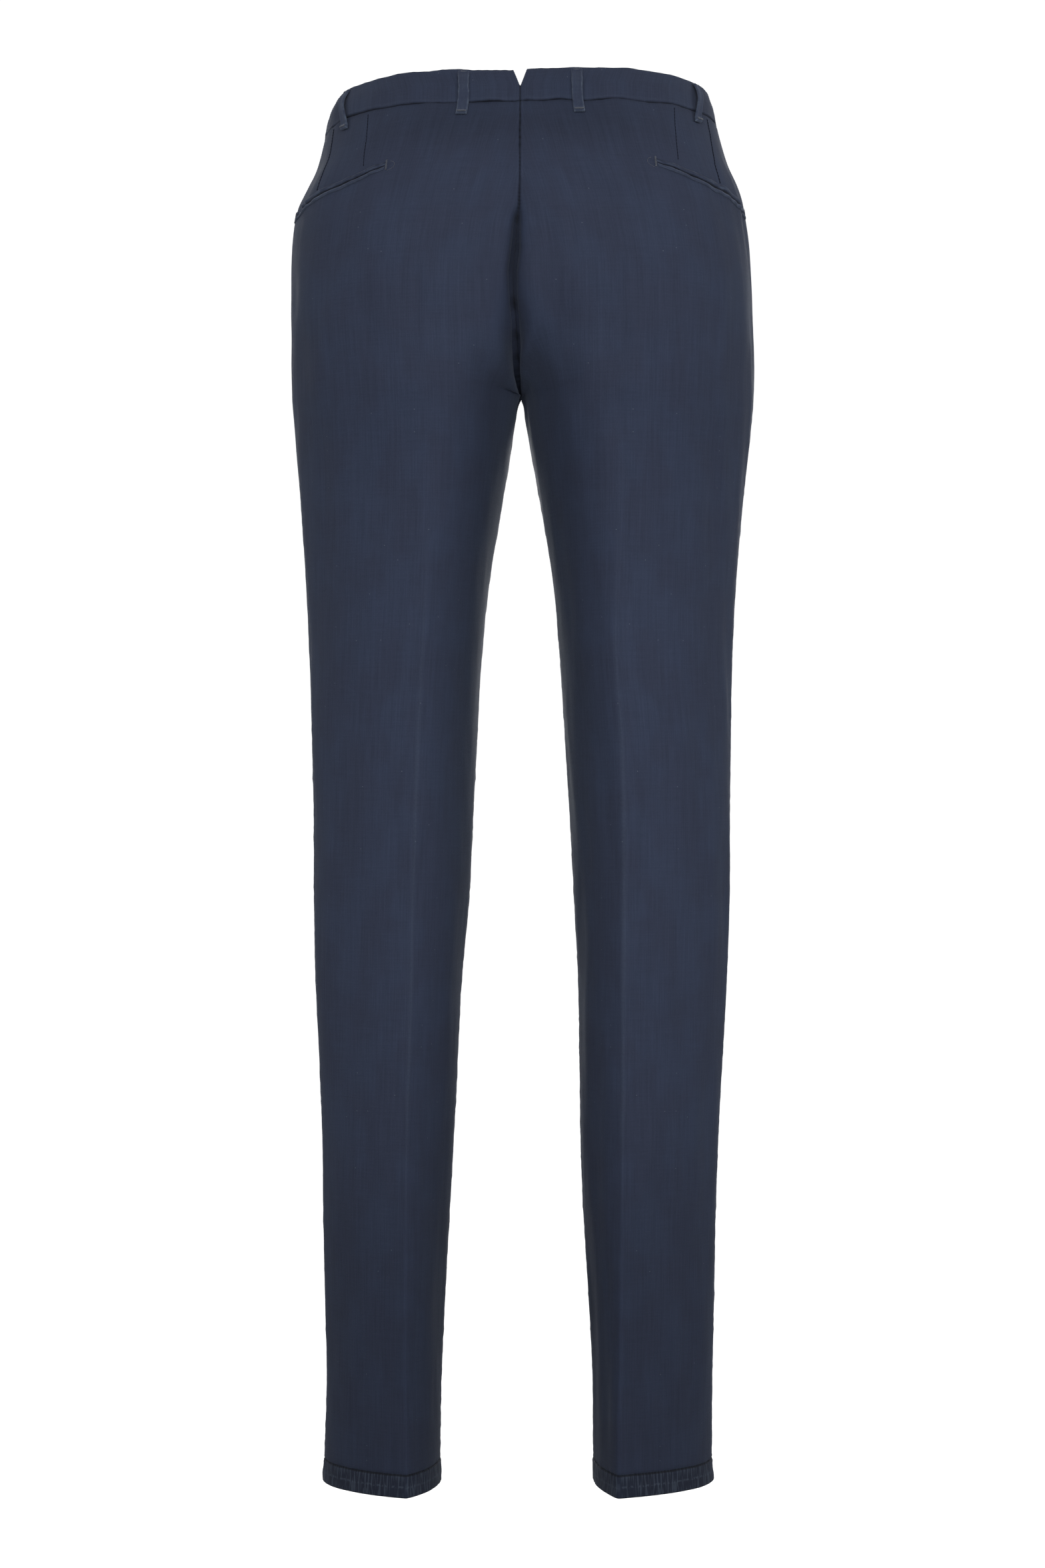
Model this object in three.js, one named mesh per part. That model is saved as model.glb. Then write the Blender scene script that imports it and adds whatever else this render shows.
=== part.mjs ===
// Men's slim chino trousers in navy cotton, filled out as when worn, with nobody in them.
// Millimetres, +Z up. The front faces -Y, the back faces +Y, and the wearer's left is +X.
// The origin is the middle of the waist opening, level with the top of the waistband at the sides.
//
// One skin gives the whole garment. A place on it is (side, turn, down). side is 1 for the left half and -1
// for the right. turn runs from 0 at the centre back (the inseam, on the leg) by 1 at the back crease, 2 at
// the side seam and 3 at the front crease to 4 at the centre front (the inseam again). down is the distance
// below the waist. Every piece is a wall between two grids of points on that skin, moved out or in.
import * as THREE from "three";

const WALL = 1.2; // cotton cloth with its seam turnings
const SEAM_GAP = 0.3; // between two pieces that are sewn together
const LAID_GAP = 0.35; // between a piece and the one that it lies on

const BAND_DROP = 27; // height of the waistband, which leans in by some 25 degrees
const BAND_PROUD = 0.6; // the doubled band stands out from the panels
const BAND_INSIDE = 1.6;
const NOTCH = { halfWidth: 4.6, depth: 14 }; // V cut at the centre back

const CROTCH_DOWN = 222.5;
const HEM_DOWN = 1033.5;
const HEM = { depth: 17, proud: 0.4, inside: 2.2 }; // the cloth turned up inside the leg's end
const SEAM_FORWARD = 6; // the side seam and the inseam lie in front of the leg's middle
const FRONT_FILL = { share: 2.5, from: 60 }; // the centre front is fuller than the centre back

// One row for each cross-section. Each half is a tube that the middle cuts off above the crotch, so that the
// two meet in a valley which deepens towards it. outer and inner are the distances of the tube's sides from
// the middle plane and crease that of the back crease. back and front are its furthest points in y, and
// frontInset is the distance of the front crease from the outer side. round is the exponent of the corners
// (2 is an ellipse, near 1 a pressed crease), lean lifts the back above the front, and middle is where the
// centre seam is.
const COLUMNS = [
  "down", "outerLeft", "outerRight", "innerLeft", "innerRight", "creaseLeft", "creaseRight",
  "back", "front", "frontInset", "round", "lean", "middle",
];
const SECTIONS = [
  [0, 139, 138.5, -150, -150, 42.4, 39, 100, -110, 95, 2.1, 0.087, 1.7],
  [13, 145, 143, -150, -150, 43, 39.8, 108.5, -112.5, 98, 2.1, 0.1, 1.7],
  [27, 148, 146.2, -150, -150, 43.7, 40.8, 116.5, -114, 100, 2.1, 0.105, 1.7],
  [41, 151, 149.8, -150, -150, 47, 44, 121.5, -115, 101, 2.15, 0.1, 1.8],
  [55, 155.2, 154.6, -150, -150, 51, 48, 125, -115.5, 102, 2.2, 0.09, 1.8],
  [69, 161, 160.1, -150, -150, 55, 52, 128, -115, 104, 2.2, 0.07, 1.9],
  [83, 166.8, 164.2, -150, -150, 59, 57, 130, -114.5, 106, 2.2, 0.055, 2],
  [104, 170.2, 167, -142, -142, 64, 63, 131.8, -113, 104, 2.2, 0.035, 2.2],
  [133, 171.3, 170.2, -118, -118, 68, 68, 131.5, -111, 98, 2.2, 0.015, 2.6],
  [163, 172, 172, -68, -68, 69, 69, 128.5, -109, 91, 2.15, 0.005, 2.4],
  [193, 172.3, 172.8, -22, -22, 68.5, 69, 123.5, -107, 84.5, 2.1, 0, 1.6],
  [222.5, 172.3, 173, 0.75, -0.75, 67.5, 69, 117, -105.5, 79.5, 2.02, 0, 0.75],
  [238, 171.2, 172.2, 4.8, 2.2, 67, 68.8, 112.5, -105, 75.5, 1.97, 0, 0.75],
  [268, 169.2, 169.2, 9.4, 7.2, 66.9, 68.8, 104, -104, 67.5, 1.8, 0, 0.75],
  [298, 167, 166, 14.5, 12.8, 67.3, 68.8, 97.5, -102.5, 62.5, 1.65, 0, 0.75],
  [358, 163.2, 161, 24.5, 22.8, 70, 68, 87.5, -98, 55.5, 1.5, 0, 0.75],
  [418, 160.4, 158, 30.6, 28, 73, 67.8, 80, -93, 52, 1.42, 0, 0.75],
  [478, 158.6, 157, 34, 31.8, 76.4, 72.4, 74.5, -87.5, 48.5, 1.38, 0, 0.75],
  [538, 157.3, 156.2, 37, 35.5, 78.4, 73.9, 71, -82, 47, 1.35, 0, 0.75],
  [598, 157, 155.8, 40, 38.5, 80.1, 74.1, 69.5, -77, 44.5, 1.32, 0, 0.75],
  [658, 155.6, 153.6, 45.4, 41.6, 81.2, 73.8, 70.5, -72, 42, 1.3, 0, 0.75],
  [718, 152.6, 150.2, 48.4, 42.6, 82.9, 73.3, 71.5, -67.5, 38.5, 1.3, 0, 0.75],
  [778, 150.2, 147, 51.4, 43.4, 84.5, 72.9, 71, -65, 36.5, 1.3, 0, 0.75],
  [838, 149.5, 145, 54.8, 45.8, 85.6, 72.6, 69, -64, 34, 1.3, 0, 0.75],
  [898, 148.3, 144, 58, 49.6, 85.9, 72.1, 67, -64.5, 32.5, 1.3, 0, 0.75],
  [958, 147.2, 142.8, 60.6, 52.4, 85.6, 71.2, 65.5, -65.5, 31.3, 1.3, 0, 0.75],
  [1018, 149, 142.4, 61.8, 53, 85.4, 70.8, 64.5, -66.5, 30.5, 1.3, 0, 0.75],
  [1033.5, 149.6, 142.9, 61.6, 53.8, 85.4, 70.8, 64.5, -66.5, 30.7, 1.3, 0, 0.75],
];
const FRONT_DIP = 0.0042; // share of the lean that bends the waist down at the front, per mm
const LEFT_DIP = 0.2; // share of it that lets the waist hang lower on the left

const QUARTER_STEPS = 7; // columns of a panel between a seam and its crease
const RISE_STEPS = 11; // rows of a panel from the waistband to the crotch
const LEG_STEPS = 17; // and from the crotch to the hem
const LEG_SPREAD = 1.2; // rows are closer near the crotch

// The slanted slit of a back pocket, from its inner end to the one by the side seam, and its two lips.
const POCKET = {
  innerTurn: 1.24, outerTurn: 1.9, innerDown: 71.5, outerDown: 92, bow: 2.5, slit: 0.3, lip: 3.4,
};
const LIP_THICKNESS = 0.9;
const MOUTH = { turn: 0.26, rows: 7 }; // slanted front pocket, from the waistband to this row of the panel
const FLY = { rows: 6, lap: 2.5, underlap: 12, liftWithin: 18, liftGone: 30 };
const BAND_UNDERLAP = 12;
const LOOP = { width: 8, below: 8.5, stand: 2.4, thickness: 1.4, steps: 10 };
// Each pair of belt loops, by the turn at its top end and at its bottom end.
const LOOP_PLACES = [
  ["back", 1, 0.962],
  ["side", 1.66, 1.57],
  ["front", 2.9, 2.9],
];
const BUTTON = { radius: 7.5, rim: 1.4, thickness: 2.8, dish: 0.8, turn: 3.5, down: 13.5 };

const navy = { color: 0x2b3347, roughness: 0.85, metalness: 0 };
const horn = { color: 0x1b1c22, roughness: 0.4, metalness: 0 };

const { clamp, lerp, smoothstep } = THREE.MathUtils;
const spaced = (from, to, steps) => Array.from({ length: steps + 1 }, (_, i) => lerp(from, to, i / steps));

// The columns at any distance down, on a smooth curve through the rows.
function section(side, down) {
  const last = SECTIONS.length - 1;
  let i = 0;
  while (i < last - 1 && SECTIONS[i + 1][0] < down) i += 1;
  const rows = [i - 1, i, i + 1, i + 2].map((row) => SECTIONS[clamp(row, 0, last)]);
  const span = rows[2][0] - rows[1][0];
  const t = (down - rows[1][0]) / span;
  const slope = (from, to, column) => ((to[column] - from[column]) * span) / (to[0] - from[0]);
  const found = {};
  COLUMNS.forEach((name, column) => {
    const [a, b] = [rows[1][column], rows[2][column]];
    const leave = slope(rows[0], rows[2], column);
    const arrive = slope(rows[1], rows[3], column);
    const cubic = 2 * a - 2 * b + leave + arrive;
    const square = 3 * (b - a) - 2 * leave - arrive;
    found[name] = ((cubic * t + square) * t + leave) * t + a;
  });
  const half = side > 0 ? "Left" : "Right";
  for (const name of ["outer", "inner", "crease"]) found[name] = found[name + half];
  return found;
}

// A point of the skin. lap moves the centre seam's edge past the middle.
function skin(side, turn, down, lap = 0) {
  const c = section(side, down);
  const isBack = turn < 2;
  const isMiddle = turn < 1 || turn > 3;
  const seamY = (c.back + c.front) / 2 - SEAM_FORWARD;
  const ridge = isBack ? [c.crease, c.back] : [c.outer - c.frontInset, c.front];
  const start = [c.outer, seamY];
  let cut = 0; // where the tube is cut off, as an angle
  if (isMiddle) {
    const middle = side * c.middle;
    const edge = (down < CROTCH_DOWN ? middle : c.inner) + SEAM_GAP / 2;
    const reach = Math.max(middle - c.inner, 0);
    start[0] = edge - reach * (isBack ? 1 : 1 + FRONT_FILL.share * smoothstep(reach, 0, FRONT_FILL.from));
    start[1] = seamY + (isBack ? SEAM_GAP / 2 : -SEAM_GAP / 2);
    if (down < CROTCH_DOWN) {
      const share = Math.min((ridge[0] - edge + lap) / (ridge[0] - start[0]), 1);
      cut = Math.acos(share ** (c.round / 2));
    }
  }
  // a quarter turn at the crease, and from the other seam or cut
  const phi = lerp(cut, Math.PI / 2, isMiddle ? Math.min(turn, 4 - turn) : Math.abs(turn - 2));
  const x = lerp(ridge[0], start[0], Math.max(Math.cos(phi), 0) ** (2 / c.round));
  const y = lerp(start[1], ridge[1], Math.sin(phi) ** (2 / Math.max(c.round, 2)));
  return new THREE.Vector3(side * x, y, c.lean * (y - FRONT_DIP * y * y - LEFT_DIP * side * x) - down);
}

// The skin's outward direction, from two short steps along it.
function outward(side, turn, down, lap = 0) {
  const step = 0.02;
  const quarter = Math.min(Math.floor(turn), 3);
  const t = clamp(turn, quarter + step, quarter + 1 - step);
  const d = clamp(down, 1, HEM_DOWN - 1);
  const around = skin(side, t + step, d, lap).sub(skin(side, t - step, d, lap));
  const along = skin(side, t, d + 1, lap).sub(skin(side, t, d - 1, lap));
  return around.cross(along).normalize().multiplyScalar(side);
}

function moved(side, turn, down, out, lap = 0) {
  return skin(side, turn, down, lap).addScaledVector(outward(side, turn, down, lap), out);
}

// A closed wall between two grids of points with the same rows and columns.
function wall(outer, inner) {
  const rows = outer.length;
  const columns = outer[0].length;
  const points = [...outer.flat(), ...inner.flat()];
  const id = (layer, row, column) => (layer * rows + row) * columns + column;
  const faces = [];
  const quad = (a, b, c, d) => faces.push(a, b, c, a, c, d);
  for (let r = 0; r < rows - 1; r += 1) {
    for (let c = 0; c < columns - 1; c += 1) {
      quad(id(0, r, c), id(0, r + 1, c), id(0, r + 1, c + 1), id(0, r, c + 1));
      quad(id(1, r, c), id(1, r, c + 1), id(1, r + 1, c + 1), id(1, r + 1, c));
    }
  }
  for (let c = 0; c < columns - 1; c += 1) {
    quad(id(0, 0, c), id(0, 0, c + 1), id(1, 0, c + 1), id(1, 0, c));
    quad(id(0, rows - 1, c + 1), id(0, rows - 1, c), id(1, rows - 1, c), id(1, rows - 1, c + 1));
  }
  for (let r = 0; r < rows - 1; r += 1) {
    quad(id(0, r + 1, 0), id(0, r, 0), id(1, r, 0), id(1, r + 1, 0));
    const end = columns - 1;
    quad(id(0, r, end), id(0, r + 1, end), id(1, r + 1, end), id(1, r, end));
  }
  let volume = 0;
  for (let f = 0; f < faces.length; f += 3) {
    const [a, b, c] = [points[faces[f]], points[faces[f + 1]], points[faces[f + 2]]];
    volume += a.dot(new THREE.Vector3().crossVectors(b, c));
  }
  if (volume < 0) faces.reverse();
  const geometry = new THREE.BufferGeometry().setFromPoints(points);
  geometry.setIndex(faces);
  geometry.computeVertexNormals();
  return geometry;
}

function piece(name, geometry, look = navy) {
  const mesh = new THREE.Mesh(geometry, new THREE.MeshStandardMaterial(look));
  mesh.name = name;
  return mesh;
}

// Rows of a leg panel, as distances down. They crowd together towards the crotch, and the last two are the
// hem.
const risePart = spaced(0, Math.PI / 2, RISE_STEPS)
  .map((angle) => lerp(BAND_DROP + SEAM_GAP, CROTCH_DOWN, Math.sin(angle)))
  .slice(0, -1);
const HEM_TOP = HEM_DOWN - HEM.depth;
const legPart = spaced(0, 1, LEG_STEPS).map((t) => lerp(CROTCH_DOWN, HEM_TOP - 1, t ** LEG_SPREAD));
const PANEL_ROWS = [...risePart, ...legPart, HEM_TOP, HEM_DOWN];

// How far the front pocket's slanted mouth lies in front of the side seam, as a turn.
const MOUTH_END = PANEL_ROWS[MOUTH.rows];
const mouth = (down) => (MOUTH.turn * Math.max(MOUTH_END - down, 0)) / (MOUTH_END - BAND_DROP);

// Half a seam's gap beside the side seam, as a turn.
function seamInset(side, down) {
  const step = 0.01;
  const length = skin(side, 2 - step, down).distanceTo(skin(side, 2 - 2 * step, down));
  return (step * SEAM_GAP) / 2 / length;
}

// The columns of a panel in one row, from one seam by the crease to the other seam.
const columnsOf = (from, crease, to) => [
  ...spaced(from, crease, QUARTER_STEPS).slice(0, -1),
  ...spaced(crease, to, QUARTER_STEPS),
];
const backTurns = (side, down) => columnsOf(0, 1, 2 - seamInset(side, down));
const frontTurns = (side, down) => columnsOf(2 + mouth(down) + seamInset(side, down), 3, 4);

const isHem = (down) => down >= HEM_TOP;

function backPanel(side) {
  const grid = (out, hemOut) =>
    PANEL_ROWS.map((down) =>
      backTurns(side, down).map((turn) => moved(side, turn, down, isHem(down) ? hemOut : out)),
    );
  return wall(grid(0, HEM.proud), grid(-WALL, -HEM.inside));
}

// The left front laps over the right one as far down as the fly goes. These give how far each edge passes
// the middle, and how far the upper one is lifted to clear the lower one.
function flyLap(side, row) {
  if (row > FLY.rows) return 0;
  if (side > 0) return FLY.lap;
  return row === FLY.rows ? -FLY.lap : FLY.underlap;
}
const flyLift = (turn, down) =>
  turn > 3 ? 1 - smoothstep(skin(1, turn, down, FLY.lap).x, FLY.liftWithin, FLY.liftGone) : 0;

function frontPanel(side) {
  const grid = (out, hemOut) =>
    PANEL_ROWS.map((down, row) =>
      frontTurns(side, down).map((turn) => {
        const lifted = side > 0 && row <= FLY.rows ? flyLift(turn, down) * (WALL + LAID_GAP) : 0;
        return moved(side, turn, down, (isHem(down) ? hemOut : out) + lifted, flyLap(side, row));
      }),
    );
  return wall(grid(0, HEM.proud), grid(-WALL, -HEM.inside));
}

// The cloth behind the slanted pocket's mouth. It leaves the side seam level with the back panel and dips
// under the front panel, where it ends below that panel's second column.
function pocketFacing(side) {
  const dip = WALL + LAID_GAP;
  const grid = (out) =>
    PANEL_ROWS.slice(0, MOUTH.rows + 1).map((down, row) => {
      const [edge, next] = frontTurns(side, down);
      const seam = 2 + seamInset(side, down);
      const ending = clamp(row - MOUTH.rows + 2, 0, 1);
      const shown = [0, 0.35, 0.7, 1].map((share) => {
        const turn = lerp(seam, edge, share);
        return moved(side, turn, down, out - dip * Math.max(share, ending));
      });
      return [...shown, moved(side, next, down, out - dip)];
    });
  return wall(grid(0), grid(-WALL));
}

function waistband(side) {
  const turns = [...columnsOf(0, 1, 2).slice(0, -1), ...columnsOf(2, 3, 4)];
  const lap = side > 0 ? FLY.lap : BAND_UNDERLAP;
  const lift = side > 0 ? BAND_PROUD + BAND_INSIDE + LAID_GAP : 0;
  const grid = (out) =>
    [0, NOTCH.depth, BAND_DROP].map((down) => {
      const notch = NOTCH.halfWidth * (1 - Math.min(down / NOTCH.depth, 1));
      return turns.map((turn) => {
        const lifted = out + lift * flyLift(turn, down);
        return moved(side, turn, down, lifted, turn < 1 ? -notch : lap);
      });
    });
  return wall(grid(BAND_PROUD), grid(-BAND_INSIDE));
}

// One lip of a back pocket, laid on the back panel just above or below the slit.
function welt(side, isUpper) {
  const offs = isUpper ? [-POCKET.lip, -POCKET.slit] : [POCKET.slit, POCKET.lip];
  const grid = (out) =>
    spaced(offs[0], offs[1], 2).map((off) =>
      spaced(0, 1, 10).map((t) => {
        const down = lerp(POCKET.innerDown, POCKET.outerDown, t) + POCKET.bow * Math.sin(Math.PI * t) + off;
        return moved(side, lerp(POCKET.innerTurn, POCKET.outerTurn, t), down, out);
      }),
    );
  return wall(grid(LAID_GAP + LIP_THICKNESS), grid(LAID_GAP));
}

// A belt loop: a narrow strip sewn on at the top of the band and below its seam, standing off in between.
function beltLoop(side, topTurn, bottomTurn) {
  const low = BAND_DROP + LOOP.below;
  const level = (turn, down) =>
    skin(side, turn + 0.01, down).sub(skin(side, turn - 0.01, down)).normalize();
  const grid = (out) =>
    spaced(0, 1, LOOP.steps).map((t) => {
      const turn = lerp(topTurn, bottomTurn, t);
      const down = low * t;
      const off = BAND_PROUD + LAID_GAP + LOOP.stand * Math.sin(Math.PI * t) + out;
      const middle = moved(side, turn, down, off);
      return [-0.5, 0, 0.5].map((w) => middle.clone().addScaledVector(level(turn, down), w * LOOP.width));
    });
  return wall(grid(LOOP.thickness), grid(0));
}

function waistButton() {
  const { radius, rim, thickness, dish, turn, down } = BUTTON;
  const profile = [
    [0, 0],
    [radius - 0.6, 0],
    [radius, 0.7],
    [radius, thickness - 0.7],
    [radius - 0.6, thickness],
    [radius - rim, thickness],
    [radius - rim - 0.8, thickness - dish],
    [0, thickness - dish],
  ].map(([x, y]) => new THREE.Vector2(x, y));
  const mesh = piece("waist_button", new THREE.LatheGeometry(profile, 24), horn);
  const off = 2 * BAND_PROUD + BAND_INSIDE + 2 * LAID_GAP;
  mesh.position.copy(moved(1, turn, down, off, FLY.lap));
  mesh.quaternion.setFromUnitVectors(new THREE.Vector3(0, 1, 0), outward(1, turn, down, FLY.lap));
  return mesh;
}

const trousers = new THREE.Group();
for (const [name, side] of [["left", 1], ["right", -1]]) {
  const loops = LOOP_PLACES.map(([place, top, bottom]) =>
    piece(`belt_loop_${place}_${name}`, beltLoop(side, top, bottom)),
  );
  trousers.add(
    piece(`back_${name}`, backPanel(side)),
    piece(`front_${name}`, frontPanel(side)),
    piece(`waistband_${name}`, waistband(side)),
    piece(`front_pocket_facing_${name}`, pocketFacing(side)),
    piece(`back_pocket_upper_welt_${name}`, welt(side, true)),
    piece(`back_pocket_lower_welt_${name}`, welt(side, false)),
    ...loops,
  );
}
trousers.add(waistButton());

export default trousers;
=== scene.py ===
import math

import bpy
import numpy as np
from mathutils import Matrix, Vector


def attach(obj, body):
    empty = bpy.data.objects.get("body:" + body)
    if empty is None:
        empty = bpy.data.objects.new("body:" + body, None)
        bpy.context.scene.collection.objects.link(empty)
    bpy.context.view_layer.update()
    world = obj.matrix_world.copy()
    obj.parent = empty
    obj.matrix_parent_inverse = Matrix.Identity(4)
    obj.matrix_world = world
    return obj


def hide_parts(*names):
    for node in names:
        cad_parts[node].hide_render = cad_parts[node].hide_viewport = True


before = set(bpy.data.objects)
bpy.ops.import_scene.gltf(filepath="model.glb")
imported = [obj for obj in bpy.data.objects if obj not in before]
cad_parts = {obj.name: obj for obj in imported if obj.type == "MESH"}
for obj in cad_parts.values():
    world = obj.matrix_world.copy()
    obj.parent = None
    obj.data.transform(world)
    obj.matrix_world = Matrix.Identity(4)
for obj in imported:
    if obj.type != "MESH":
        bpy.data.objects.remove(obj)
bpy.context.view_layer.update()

# Back panels. Each is one length of fine navy cotton twill from the waist seam to the hem, with a pressed
# crease down the middle. It is cut on the straight grain, shaped by two darts above the pocket, and sewn
# to its neighbours with the turnings pressed open, so each seam shows as a narrow rounded groove.

# One row for each cross-section, in millimetres, with the place of each side, crease and centre seam.
COLUMNS = (
    "down", "outer_left", "outer_right", "inner_left", "inner_right", "crease_left", "crease_right",
    "back", "front", "front_inset", "round", "lean", "middle",
)
SECTIONS = np.array([
    (0, 139, 138.5, -150, -150, 42.4, 39, 100, -110, 95, 2.1, 0.087, 1.7),
    (13, 145, 143, -150, -150, 43, 39.8, 108.5, -112.5, 98, 2.1, 0.1, 1.7),
    (27, 148, 146.2, -150, -150, 43.7, 40.8, 116.5, -114, 100, 2.1, 0.105, 1.7),
    (41, 151, 149.8, -150, -150, 47, 44, 121.5, -115, 101, 2.15, 0.1, 1.8),
    (55, 155.2, 154.6, -150, -150, 51, 48, 125, -115.5, 102, 2.2, 0.09, 1.8),
    (69, 161, 160.1, -150, -150, 55, 52, 128, -115, 104, 2.2, 0.07, 1.9),
    (83, 166.8, 164.2, -150, -150, 59, 57, 130, -114.5, 106, 2.2, 0.055, 2),
    (104, 170.2, 167, -142, -142, 64, 63, 131.8, -113, 104, 2.2, 0.035, 2.2),
    (133, 171.3, 170.2, -118, -118, 68, 68, 131.5, -111, 98, 2.2, 0.015, 2.6),
    (163, 172, 172, -68, -68, 69, 69, 128.5, -109, 91, 2.15, 0.005, 2.4),
    (193, 172.3, 172.8, -22, -22, 68.5, 69, 123.5, -107, 84.5, 2.1, 0, 1.6),
    (222.5, 172.3, 173, 0.75, -0.75, 67.5, 69, 117, -105.5, 79.5, 2.02, 0, 0.75),
    (238, 171.2, 172.2, 4.8, 2.2, 67, 68.8, 112.5, -105, 75.5, 1.97, 0, 0.75),
    (268, 169.2, 169.2, 9.4, 7.2, 66.9, 68.8, 104, -104, 67.5, 1.8, 0, 0.75),
    (298, 167, 166, 14.5, 12.8, 67.3, 68.8, 97.5, -102.5, 62.5, 1.65, 0, 0.75),
    (358, 163.2, 161, 24.5, 22.8, 70, 68, 87.5, -98, 55.5, 1.5, 0, 0.75),
    (418, 160.4, 158, 30.6, 28, 73, 67.8, 80, -93, 52, 1.42, 0, 0.75),
    (478, 158.6, 157, 34, 31.8, 76.4, 72.4, 74.5, -87.5, 48.5, 1.38, 0, 0.75),
    (538, 157.3, 156.2, 37, 35.5, 78.4, 73.9, 71, -82, 47, 1.35, 0, 0.75),
    (598, 157, 155.8, 40, 38.5, 80.1, 74.1, 69.5, -77, 44.5, 1.32, 0, 0.75),
    (658, 155.6, 153.6, 45.4, 41.6, 81.2, 73.8, 70.5, -72, 42, 1.3, 0, 0.75),
    (718, 152.6, 150.2, 48.4, 42.6, 82.9, 73.3, 71.5, -67.5, 38.5, 1.3, 0, 0.75),
    (778, 150.2, 147, 51.4, 43.4, 84.5, 72.9, 71, -65, 36.5, 1.3, 0, 0.75),
    (838, 149.5, 145, 54.8, 45.8, 85.6, 72.6, 69, -64, 34, 1.3, 0, 0.75),
    (898, 148.3, 144, 58, 49.6, 85.9, 72.1, 67, -64.5, 32.5, 1.3, 0, 0.75),
    (958, 147.2, 142.8, 60.6, 52.4, 85.6, 71.2, 65.5, -65.5, 31.3, 1.3, 0, 0.75),
    (1018, 149, 142.4, 61.8, 53, 85.4, 70.8, 64.5, -66.5, 30.5, 1.3, 0, 0.75),
    (1033.5, 149.6, 142.9, 61.6, 53.8, 85.4, 70.8, 64.5, -66.5, 30.7, 1.3, 0, 0.75),
])
MM = 0.001
WALL = 1.2  # the cloth's thickness
SEAM_GAP = 0.3
BAND_DROP = 27
CROTCH_DOWN = 222.5
HEM_DOWN = 1033.5
HEM_DEPTH = 17
HEM_TOP = HEM_DOWN - HEM_DEPTH
SEAM_FORWARD = 6  # the side seams lie this far in front of the middle
FRONT_DIP = 0.0042  # where the waist leans, its rise levels off at the back and it drops further at the front
LEFT_DIP = 0.2  # and its sides tilt by this share
SIDES = (("left", 1), ("right", -1))


def smoothstep(value, low, high):
    t = np.clip((value - low) / (high - low), 0, 1)
    return t * t * (3 - 2 * t)


def bell(distance, half_width):
    """1 at no distance, and smoothly down to almost nothing at twice the half width."""
    return np.exp(-((distance / half_width) ** 2))


def section(side, down):
    """The columns of SECTIONS at any distances down, on a smooth curve through the rows."""
    last = len(SECTIONS) - 1
    i = np.clip(np.searchsorted(SECTIONS[:, 0], down) - 1, 0, last - 1)
    before, a, b, after = (SECTIONS[np.clip(i + k, 0, last)] for k in (-1, 0, 1, 2))
    span = (b - a)[..., :1]
    t = (down[..., None] - a[..., :1]) / span
    leave = (b - before) * span / (b - before)[..., :1]
    arrive = (after - a) * span / (after - a)[..., :1]
    found = (((2 * a - 2 * b + leave + arrive) * t + 3 * (b - a) - 2 * leave - arrive) * t + leave) * t + a
    c = {name: found[..., k] for k, name in enumerate(COLUMNS)}
    half = "left" if side > 0 else "right"
    for name in ("outer", "inner", "crease"):
        c[name] = c[f"{name}_{half}"]
    return c


def skin(side, turn, down, lap=0.0):
    """Points of the garment's form. turn runs from 0 at the centre back by 1 at the back crease, 2 at the
    side seam and 3 at the front crease to 4 at the centre front; below the crotch 0 and 4 are the inseam."""
    turn, down, lap = np.broadcast_arrays(*(np.asarray(x, float) for x in (turn, down, lap)))
    c = section(side, down)
    is_back = turn < 2
    is_middle = (turn < 1) | (turn > 3)
    seam_y = (c["back"] + c["front"]) / 2 - SEAM_FORWARD
    ridge_x = np.where(is_back, c["crease"], c["outer"] - c["front_inset"])
    ridge_y = np.where(is_back, c["back"], c["front"])
    middle = side * c["middle"]
    edge = np.where(down < CROTCH_DOWN, middle, c["inner"]) + SEAM_GAP / 2
    reach = np.maximum(middle - c["inner"], 0)
    fuller = np.where(is_back, 1, 1 + 2.5 * smoothstep(reach, 0, 60))
    start_x = np.where(is_middle, edge - reach * fuller, c["outer"])
    start_y = seam_y + np.where(is_middle, np.where(is_back, SEAM_GAP / 2, -SEAM_GAP / 2), 0)
    share = np.clip((ridge_x - edge + lap) / (ridge_x - start_x), 0, 1)
    cut = np.where(is_middle & (down < CROTCH_DOWN), np.arccos(share ** (c["round"] / 2)), 0)
    quarter = np.where(is_middle, np.minimum(turn, 4 - turn), np.abs(turn - 2))
    phi = cut + (np.pi / 2 - cut) * quarter
    x = ridge_x + (start_x - ridge_x) * np.maximum(np.cos(phi), 0) ** (2 / c["round"])
    y = start_y + (ridge_y - start_y) * np.sin(phi) ** (2 / np.maximum(c["round"], 2))
    z = c["lean"] * (y - FRONT_DIP * y * y - LEFT_DIP * side * x) - down
    return np.stack([side * x, y, z], -1)


def outward(side, turn, down, lap=0.0):
    """The form's outward direction at the same places."""
    step = 0.02
    turn, down = np.broadcast_arrays(np.asarray(turn, float), np.asarray(down, float))
    quarter = np.minimum(np.floor(turn), 3)
    t = np.clip(turn, quarter + step, quarter + 1 - step)
    d = np.clip(down, 1, HEM_DOWN - 1)
    around = skin(side, t + step, d, lap) - skin(side, t - step, d, lap)
    along = skin(side, t, d + 1, lap) - skin(side, t, d - 1, lap)
    n = np.cross(around, along) * side
    return n / np.linalg.norm(n, axis=-1, keepdims=True)


def closer_at_ends(start, stop, count, share=0.8):
    """Numbers from start to stop that crowd together at both ends."""
    s = np.linspace(0, 1, count + 1)
    return start + (stop - start) * ((1 - share) * s + share * (1 - np.cos(np.pi * s)) / 2)


def rows_by_spacing(table):
    """Distances down whose spacing follows a table of (down, spacing)."""
    at, spacing = np.array(table, float).T
    fine = np.linspace(at[0], at[-1], 20000)
    count = np.concatenate([[0], np.cumsum(np.diff(fine) / np.interp(fine[1:], at, spacing))])
    return np.interp(np.linspace(0, count[-1], int(round(count[-1])) + 1), count, fine)


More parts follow.
